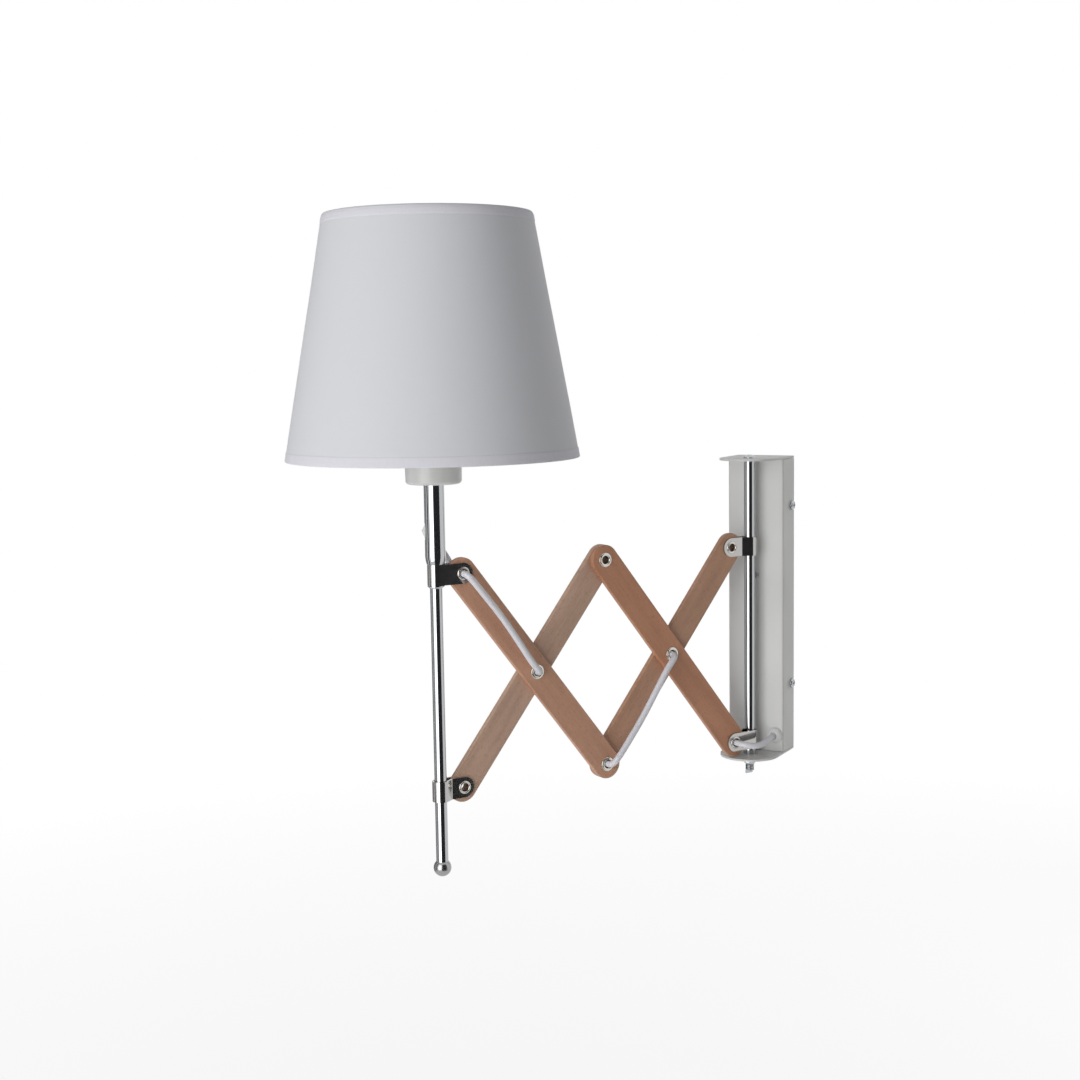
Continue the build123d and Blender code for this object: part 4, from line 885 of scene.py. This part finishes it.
class MakeClips(bpy.types.Operator):
    """Four strap clips on the rods"""
    bl_idname = "wall_lamp.make_clips"
    bl_label = "Clips"

    def execute(self, context):
        repaint(chromed_strap(), "wall_clip_lower", "wall_clip_upper", "lamp_clip_lower", "lamp_clip_upper")
        return {"FINISHED"}


RIVETS = {
    "rivet_wall_lower": ("lower_wall_clip", WALL_LOWER),
    "rivet_wall_upper": ("upper_wall_clip", WALL_UPPER),
    "rivet_cross_wall": ("wall_front_slat", CROSS_WALL),
    "rivet_joint_top": ("wall_front_slat", JOINT_TOP),
    "rivet_joint_bottom": ("lamp_front_slat", JOINT_BOTTOM),
    "rivet_cross_lamp": ("lamp_front_slat", CROSS_LAMP),
    "rivet_lamp_lower": ("lower_lamp_clip", LAMP_LOWER),
    "rivet_lamp_upper": ("upper_lamp_clip", LAMP_UPPER),
}


class MakeRivets(bpy.types.Operator):
    """Eight hollow rivets with rolled flanges"""
    bl_idname = "wall_lamp.make_rivets"
    bl_label = "Rivets"

    def execute(self, context):
        settings = context.scene.lamp_scissor
        for node, (body, place) in RIVETS.items():
            low, high = span(node, place, FRONT)
            flange = girth(node, place, FRONT)
            outline = self.outline(low, high, settings.rivet_bore / 2, flange, settings)
            rivet = turned(node.replace("rivet_", "eyelet_"), outline, along(FRONT, place), 64)
            dress(rivet, nickelled_rivet(), "rivet_nickel", node, crease=60)
            # the bore's faces get a brown, darker material: painted reflection of the beech and painted shade in the
            # bore
            rivet.data.materials.append(dull_bore())
            for face in rivet.data.polygons:
                inside = hypot(face.center.x, face.center.y) < settings.rivet_bore / 2 + 0.12 * MM
                face.material_index = 1 if inside else 0
            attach(rivet, body)
        return {"FINISHED"}

    def outline(self, low, high, bore, flange, settings):
        """Section of a rivet: a thin barrel, and at each end a flange rolled over to a round rim."""
        rim, wall = settings.rivet_rim, settings.rivet_hole / 2 - 0.2 * MM
        lip = 0.45 * MM
        half = [(bore, 0), (bore, rim + 0.5 * MM), (bore + lip, rim * 0.35), (bore + lip * 2.2, 0.0),
                (flange - 0.5 * MM, 0.06 * MM), (flange, rim * 0.45), (flange, rim), (wall, rim)]
        lower = [(r, low + z) for r, z in half[1:]]
        upper = [(r, high - z) for r, z in reversed(half[1:])]
        return eased(lower + upper, 0.28 * MM)


class MakeCord(bpy.types.Operator):
    """White cord from the bracket along the slats, through the rivets and up into the lamp's tube"""
    bl_idname = "wall_lamp.make_cord"
    bl_label = "Cord"

    def execute(self, context):
        settings = context.scene.lamp_cord
        self.at_the_wall(settings)
        self.along_the_slats(settings)
        self.at_the_lamp(settings)
        return {"FINISHED"}

    def at_the_wall(self, settings):
        row = Matrix.Identity(4)
        inside = routed(row, [(0, -8, -46.6), (0, -8, -60.6), (7, -7, -73.6), (14.8, -8, -92.7), (16.3, -13, -101.7),
                              (16.3, -19, -102.7), (16.3, -28.6, -102.7)])
        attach(cord_piece("flex_in_bracket", inside, settings), "root")
        bow = routed(row, [(16.3, -28.6, -102.7), (16.3, -36, -102.7), (15.6, -44.2, -104.8), (12.6, -52.6, -105.9),
                           (6.5, -57.6, -105.1)])
        bow += routed(axes(WALL_LOWER, OUTWARD, UP, FRONT), [(0, 0, 9.85), (0, 0, 2.25)])
        cord = cord_piece("flex_at_wall", bow, settings)
        bow[0].lerp(bow[5], 0.05)
        bow[5].lerp(bow[0], 0.08)
        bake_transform(cord)

    def along_the_slats(self, settings):
        rows = (
            ("flex_behind_wall_slat", "wall_front_slat", WALL_LOWER, True,
             [(0, 0, 2.25), (0, 0, -5.5), (3.5, 0, -9.5), (13, 1, -11.5), (31, 2.5, -12), (53, 1.5, -12.6),
              (73, -1, -12.3), (88, -0.8, -11.8), (94.5, 0, -9.8), (97, 0, -6.5), (97, 0, 0)]),
            ("flex_over_wall_slat", "wall_rear_slat", CROSS_WALL, False,
             [(0, 0, 0), (0, 0, 8), (3, 1.5, 11.8), (13, 3, 13), (32, 1, 12.2), (54, -1, 11.6), (74, -0.5, 12.2),
              (88, 0, 12.4), (94.5, 0, 11), (97, 0, 7.5), (97, 0, 0)]),
            ("flex_behind_lamp_slat", "lamp_front_slat", JOINT_BOTTOM, True,
             [(0, 0, 0), (0, 0, -7.5), (2.8, 0, -11), (12, -1, -12.4), (31, -2, -12), (52, -1, -11.6),
              (73, 1, -12), (87, 1, -12.2), (94.3, 0, -10.8), (97, 0, -7.5), (97, 0, 0)]),
            ("flex_over_lamp_slat", "lamp_front_slat", CROSS_LAMP, True,
             [(0, 0, 0), (0, 0, 8), (3, -1, 11.6), (13, -1.8, 12.6), (32, 0, 12), (54, 1.2, 11.8), (74, 0.6, 12.4),
              (88, 0, 13), (94.5, 0, 11.8), (97, 0, 8), (97, 0, 2.25)]),
        )
        for name, body, start, rising, points in rows:
            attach(cord_piece(name, routed(slat_place(start, rising), points), settings), body)

    def at_the_lamp(self, settings):
        bow = routed(axes(LAMP_UPPER, OUTWARD, UP, FRONT), [(0, 0, 2.25), (0, 0, -6.95)])
        bow += routed(LAMP_PLACE, [(9.9, 19.4, 3.2), (6.8, 21.4, 8.8), (3, 20.6, 15), (0.6, 17.2, 19.7),
                                   (0, 12.6, 21.5), (0, 8.0, 21.5)])
        cord = cord_piece("flex_to_tube", bow, settings)
        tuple(bow[1])
        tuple(bow[6])
        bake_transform(cord)
        inside = routed(LAMP_PLACE, [(0, 8.0, 21.5), (0, 4.4, 21.5), (1.3, 1.8, 23.5), (2.8, 0.5, 28.2), (3.3, 0.2, 36),
                                     (2.4, 0.1, 45), (0.6, 0, 53), (0, 0, 62), (0, 0, 80)])
        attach(cord_piece("flex_in_tube", inside, settings), "lamp")


class MakeLampRod(bpy.types.Operator):
    """Lamp rod with its ball, stop ring, tapered end piece, thick tube and switch"""
    bl_idname = "wall_lamp.make_lamp_rod"
    bl_label = "Lamp rod"

    def execute(self, context):
        repaint(polished_chrome(), "lamp_rod", "clip_stop_ring", "tube_taper", "lamp_tube")
        # the ball's darker grey is a painted reflection of dark surroundings
        repaint(tumbled_nickel(), "ball_end")
        repaint(zinc_plated_steel(), "tube_bush")
        repaint(moulded_nylon(), "cord_bush")
        repaint(moulded_thermoset(), "switch_body", "switch_rocker")
        return {"FINISHED"}


class MakeHolder(bpy.types.Operator):
    """Lamp-holder: cap, threaded barrel, core, contacts and ring nut"""
    bl_idname = "wall_lamp.make_holder"
    bl_label = "Lamp-holder"

    def execute(self, context):
        repaint(moulded_thermoset(), "lampholder_cap", "shade_ring_nut")
        repaint(glazed_porcelain(), "holder_core")
        repaint(drawn_brass(), "contact_shell", "centre_contact")
        repaint(zinc_plated_steel(), "holder_nut")
        self.barrel()
        return {"FINISHED"}

    def barrel(self):
        """Barrel with the coarse thread of the shade's ring nut."""
        low, high = span("lampholder_body", LAMP, UP)
        radius = girth("lampholder_body", LAMP, UP)
        inner, foot = radius - 2.2 * MM, low + 4 * MM
        outline = [(inner, low), (radius - 1.0 * MM, low), (radius - 1.0 * MM, foot), (radius, foot), (radius, high),
                   (inner, high)]
        outline, shift = threaded(outline, foot + 7 * MM, high - 1 * MM, radius, 2.5 * MM, 0.7 * MM)
        barrel = turned("holder_barrel", outline, LAMP_AXIS, 96, shift)
        dress(barrel, moulded_thermoset(), "white_plastic", "lampholder_body")
        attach(barrel, "lamp")


class MakeShade(bpy.types.Operator):
    """Tapered shade: fabric on a stiff lining, turned hems, lapped seam and wire frame"""
    bl_idname = "wall_lamp.make_shade"
    bl_label = "Shade"

    def execute(self, context):
        settings = context.scene.lamp_parts
        self.low, self.high = span("shade_cover", LAMP, UP)
        self.bottom, self.top = 100.5 * MM, 71.0 * MM
        self.fabric(settings)
        self.lining(settings)
        self.hems(settings)
        self.seam(settings)
        repaint(enamelled_wire(), "shade_frame", "shade_top_ring")
        return {"FINISHED"}

    def radius(self, level):
        """Outer radius of the fabric at a height."""
        share = (level - self.low) / (self.high - self.low)
        return self.bottom + share * (self.top - self.bottom)

    def shell(self, name, low, high, outer, inner, columns, rows=24):
        """A thin conical shell between two offsets from the fabric's face, with a hand-stretched unevenness."""
        levels = [low + (high - low) * i / rows for i in range(rows + 1)]
        outline = [(self.radius(level) + outer, level) for level in levels]
        outline += [(self.radius(level) + inner, level) for level in reversed(levels)]

        def stretched(point):
            away = hypot(point.x, point.y)
            swell = 0.18 * MM * noise.noise(point * 22)
            return Vector((point.x * (1 + swell / away), point.y * (1 + swell / away), point.z))
        return turned(name, outline, LAMP_AXIS, columns, stretched)

    def fabric(self, settings):
        edge = 1.2 * MM
        piece = self.shell("shade_fabric", self.low + edge, self.high - edge, 0, -0.35 * MM, settings.columns)
        dress(piece, woven_shade_cotton(settings), "shade_fabric", "shade_cover")
        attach(piece, "lamp")

    def lining(self, settings):
        edge = 1.2 * MM
        piece = self.shell("shade_lining", self.low + edge, self.high - edge, -0.4 * MM, -1.0 * MM, settings.columns)
        dress(piece, styrene_lining(), "shade_fabric", "shade_cover")
        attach(piece, "lamp")

    def hems(self, settings):
        """At each rim the fabric is folded round the wire ring and glued down inside and out."""
        proud, height = settings.hem_proud, settings.hem_height
        inside = [(-2.6 * MM, 0), (-3.9 * MM, 0.9 * MM), (-4.1 * MM, 2.0 * MM), (-3.2 * MM, 3.3 * MM),
                  (-1.6 * MM, 3.6 * MM), (-1.4 * MM, height + 3 * MM), (-0.95 * MM, height + 3.1 * MM),
                  (-0.95 * MM, 3.0 * MM), (-0.2 * MM, 2.8 * MM)]
        upper = [(0.02 * MM, height + 0.4 * MM), (proud, height - 0.4 * MM), (proud, 2.6 * MM), (-0.5 * MM, 0.3 * MM)]
        lower = [(0.02 * MM, height + 0.4 * MM), (proud, height - 0.4 * MM), (proud, 0.35 * MM), (-0.3 * MM, -0.2 * MM)]
        for name, rim, inward, outside in (("shade_hem_bottom", self.low, 1, lower),
                                           ("shade_hem_top", self.high, -1, upper)):
            outline = [(self.radius(rim + inward * z) + r, rim + inward * z) for r, z in outside + inside]
            piece = turned(name, eased(outline, 0.7 * MM, 4), LAMP_AXIS, settings.columns)
            dress(piece, hem_tape(settings), "shade_fabric", "shade_cover", crease=70)
            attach(piece, "lamp")

    def seam(self, settings):
        """Lapped seam of the fabric at the back, toward the wall."""
        shape = bmesh.new()
        rows, columns = 40, 8
        grid = {}
        for i in range(rows + 1):
            level = self.low + 3 * MM + (self.high - self.low - 6 * MM) * i / rows
            for j in range(columns + 1):
                across = (j / columns - 0.5) * settings.seam_width
                lift = 0.32 * MM * min(1, 4 * min(j, columns - j) / columns) + 0.03 * MM
                for layer, offset in (("out", lift), ("in", -0.1 * MM)):
                    radius = self.radius(level) + offset
                    angle = pi / 2 + across / self.radius(level)
                    grid[i, j, layer] = shape.verts.new((radius * cos(angle), radius * sin(angle), level))
        for i in range(rows):
            for j in range(columns):
                for layer in ("out", "in"):
                    shape.faces.new([grid[i, j, layer], grid[i, j + 1, layer], grid[i + 1, j + 1, layer],
                                     grid[i + 1, j, layer]])
            for j in (0, columns):
                shape.faces.new([grid[i, j, "out"], grid[i + 1, j, "out"], grid[i + 1, j, "in"], grid[i, j, "in"]])
        for i in (0, rows):
            for j in range(columns):
                shape.faces.new([grid[i, j, "out"], grid[i, j + 1, "out"], grid[i, j + 1, "in"], grid[i, j, "in"]])
        bmesh.ops.recalc_face_normals(shape, faces=shape.faces)
        mesh = bpy.data.meshes.new("shade_seam")
        shape.to_mesh(mesh)
        shape.free()
        piece = placed("shade_seam", mesh, LAMP_PLACE)
        dress(piece, woven_shade_cotton(settings), "shade_fabric", "shade_cover")
        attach(piece, "lamp")


class MakeBulb(bpy.types.Operator):
    """Small opal globe bulb with a threaded cap"""
    bl_idname = "wall_lamp.make_bulb"
    bl_label = "Bulb"

    def execute(self, context):
        repaint(opal_glass(), "bulb_glass")
        low, high = span("bulb_cap", LAMP, UP)
        radius = girth("bulb_cap", LAMP, UP)
        shoulder = low + 4.5 * MM
        outline = [(0, low), (4 * MM, low), (4.4 * MM, low + 1.2 * MM), (radius - 3.6 * MM, low + 3 * MM),
                   (radius, shoulder), (radius, high), (0, high)]
        outline, shift = threaded(outline, shoulder + 0.5 * MM, high - 5 * MM, radius, 3.6 * MM, 1.2 * MM)
        cap = turned("bulb_thread", outline, LAMP_AXIS, 96, shift)
        dress(cap, spun_aluminium(), "bulb_aluminium", "bulb_cap")
        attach(cap, "lamp")
        return {"FINISHED"}


# ---------------------------------------------------------------- stage
class MakeStage(bpy.types.Operator):
    """Plain pale floor, soft studio light and the camera"""
    bl_idname = "wall_lamp.make_stage"
    bl_label = "Stage"

    def execute(self, context):
        settings = context.scene.lamp_stage
        context.scene.view_settings.view_transform = "Standard"
        self.camera(context, settings)
        self.floor(settings)
        self.world(context, settings)
        self.lights(settings)
        self.flags()
        return {"FINISHED"}

    def camera(self, context, settings):
        yaw, pitch, roll = settings.yaw, settings.pitch, settings.roll
        look = Vector((-sin(yaw) * cos(pitch), cos(yaw) * cos(pitch), sin(pitch)))
        right = Vector((cos(yaw), sin(yaw), 0))
        up = right.cross(look)
        level_right, level_up = right * cos(roll) + up * sin(roll), up * cos(roll) - right * sin(roll)
        data = bpy.data.cameras.new("camera")
        data.lens = settings.focal_length
        data.sensor_width = 36
        camera = bpy.data.objects.new("camera", data)
        context.scene.collection.objects.link(camera)
        camera.matrix_world = axes(Vector(settings.place), level_right, level_up, -look)
        context.scene.camera = camera
        low, high = cad_box
        self.centre = (Vector(low) + Vector(high)) / 2
        away = Vector(settings.place) - self.centre
        self.toward = Vector((away.x, away.y, 0)).normalized()
        self.rightward = UP.cross(self.toward)

    def around(self, degrees, distance, height):
        """A point round the lamp: degrees to the right of the camera as it sees the lamp."""
        turn = radians(degrees)
        flat = self.toward * cos(turn) + self.rightward * sin(turn)
        return Vector((self.centre.x, self.centre.y, height)) + flat * distance

    def floor(self, settings):
        floor = block("floor", (14, 14, 0.02), Matrix.Translation((0, 0, settings.floor_level - 0.01)))
        floor.data.materials.append(seamless_paper(settings))

    def world(self, context, settings):
        """White behind the lamp and in its metal, and an even, weaker light on the rest."""
        world = bpy.data.worlds.new("studio")
        context.scene.world = world
        world.use_nodes = True
        tree = world.node_tree
        tree.nodes.clear()
        even = add_node(tree, "ShaderNodeBackground", inputs={"Color": (1, 1, 1, 1), "Strength": settings.ambient})
        white = add_node(tree, "ShaderNodeBackground", inputs={"Color": (1, 1, 1, 1), "Strength": 1.0})
        mix = add_node(tree, "ShaderNodeMixShader", inputs={0: seen_rays(tree), 1: even.outputs[0],
                                                            2: white.outputs[0]})
        add_node(tree, "ShaderNodeOutputWorld", inputs={"Surface": mix.outputs[0]})

    def light(self, name, place, target, width, height, radiance, mirrored=False):
        """A rectangular soft light of a given radiance; only the key is mirrored in metal."""
        data = bpy.data.lights.new(name, "AREA")
        data.shape = "RECTANGLE"
        data.size, data.size_y = width, height
        data.energy = radiance * pi * width * height
        light = bpy.data.objects.new(name, data)
        bpy.context.scene.collection.objects.link(light)
        light.matrix_world = along(place - target, place)
        light.visible_camera = False
        light.visible_glossy = mirrored

    def lights(self, settings):
        aim = self.centre
        self.light("key_softbox", self.around(-32, 1.6, 0.15), aim, 1.12, 1.7, settings.key_radiance, True)
        self.light("left_softbox", self.around(-110, 1.7, 0.3), aim, 0.9, 1.2, settings.key_radiance * 0.25)
        self.light("right_softbox", self.around(132, 1.7, 0.3), aim, 0.9, 1.4, settings.key_radiance * 0.95)

    def flags(self):
        """Two black flags and a grey card that only show in polished metal."""
        rows = (("flag_wide", -10, 59, black_felt), ("flag_narrow", -84, -70, black_felt),
                ("card_left", -160, -94, grey_card))
        for name, first, last, cloth in rows:
            distance, level = 0.9, 0.1
            middle = self.around((first + last) / 2, distance, level)
            width = 2 * distance * tan(radians(last - first) / 2)
            place = along(self.around((first + last) / 2, 0, level) - middle, middle)
            flag = block(name, (width, 1.6, 0.01), place)
            flag.data.materials.append(cloth())
            flag.visible_camera = False
            flag.visible_diffuse = False
            flag.visible_shadow = False


# ---------------------------------------------------------------- panel and registration
STEPS = ("make_bracket", "make_wall_rod", "make_slats", "make_clips", "make_rivets", "make_cord", "make_lamp_rod",
         "make_holder", "make_shade", "make_bulb", "make_stage")
SETTINGS = {"lamp_bracket": BracketSettings, "lamp_scissor": ScissorSettings, "lamp_cord": CordSettings,
            "lamp_parts": LampSettings, "lamp_stage": StageSettings}


class LampPanel(bpy.types.Panel):
    """Lists the lamp's pieces and their settings"""
    bl_idname = "VIEW3D_PT_wall_lamp"
    bl_label = "Scissor Wall Lamp"
    bl_space_type = "VIEW_3D"
    bl_region_type = "UI"
    bl_category = "Wall Lamp"

    def draw(self, context):
        for step in STEPS:
            self.layout.operator(f"wall_lamp.{step}")
        for name, group in SETTINGS.items():
            box = self.layout.box()
            box.label(text=name.replace("_", " ").capitalize())
            for setting in group.__annotations__:
                box.prop(getattr(context.scene, name), setting)


CLASSES = (*SETTINGS.values(), MakeBracket, MakeWallRod, MakeSlats, MakeClips, MakeRivets, MakeCord, MakeLampRod,
           MakeHolder, MakeShade, MakeBulb, MakeStage, LampPanel)


def register():
    for item in CLASSES:
        bpy.utils.register_class(item)
    for name, group in SETTINGS.items():
        setattr(bpy.types.Scene, name, PointerProperty(type=group))


def unregister():
    for name in SETTINGS:
        delattr(bpy.types.Scene, name)
    for item in reversed(CLASSES):
        bpy.utils.unregister_class(item)


def main():
    register()
    for step in STEPS:
        getattr(bpy.ops.wall_lamp, step)()


if __name__ == "__main__":
    main()
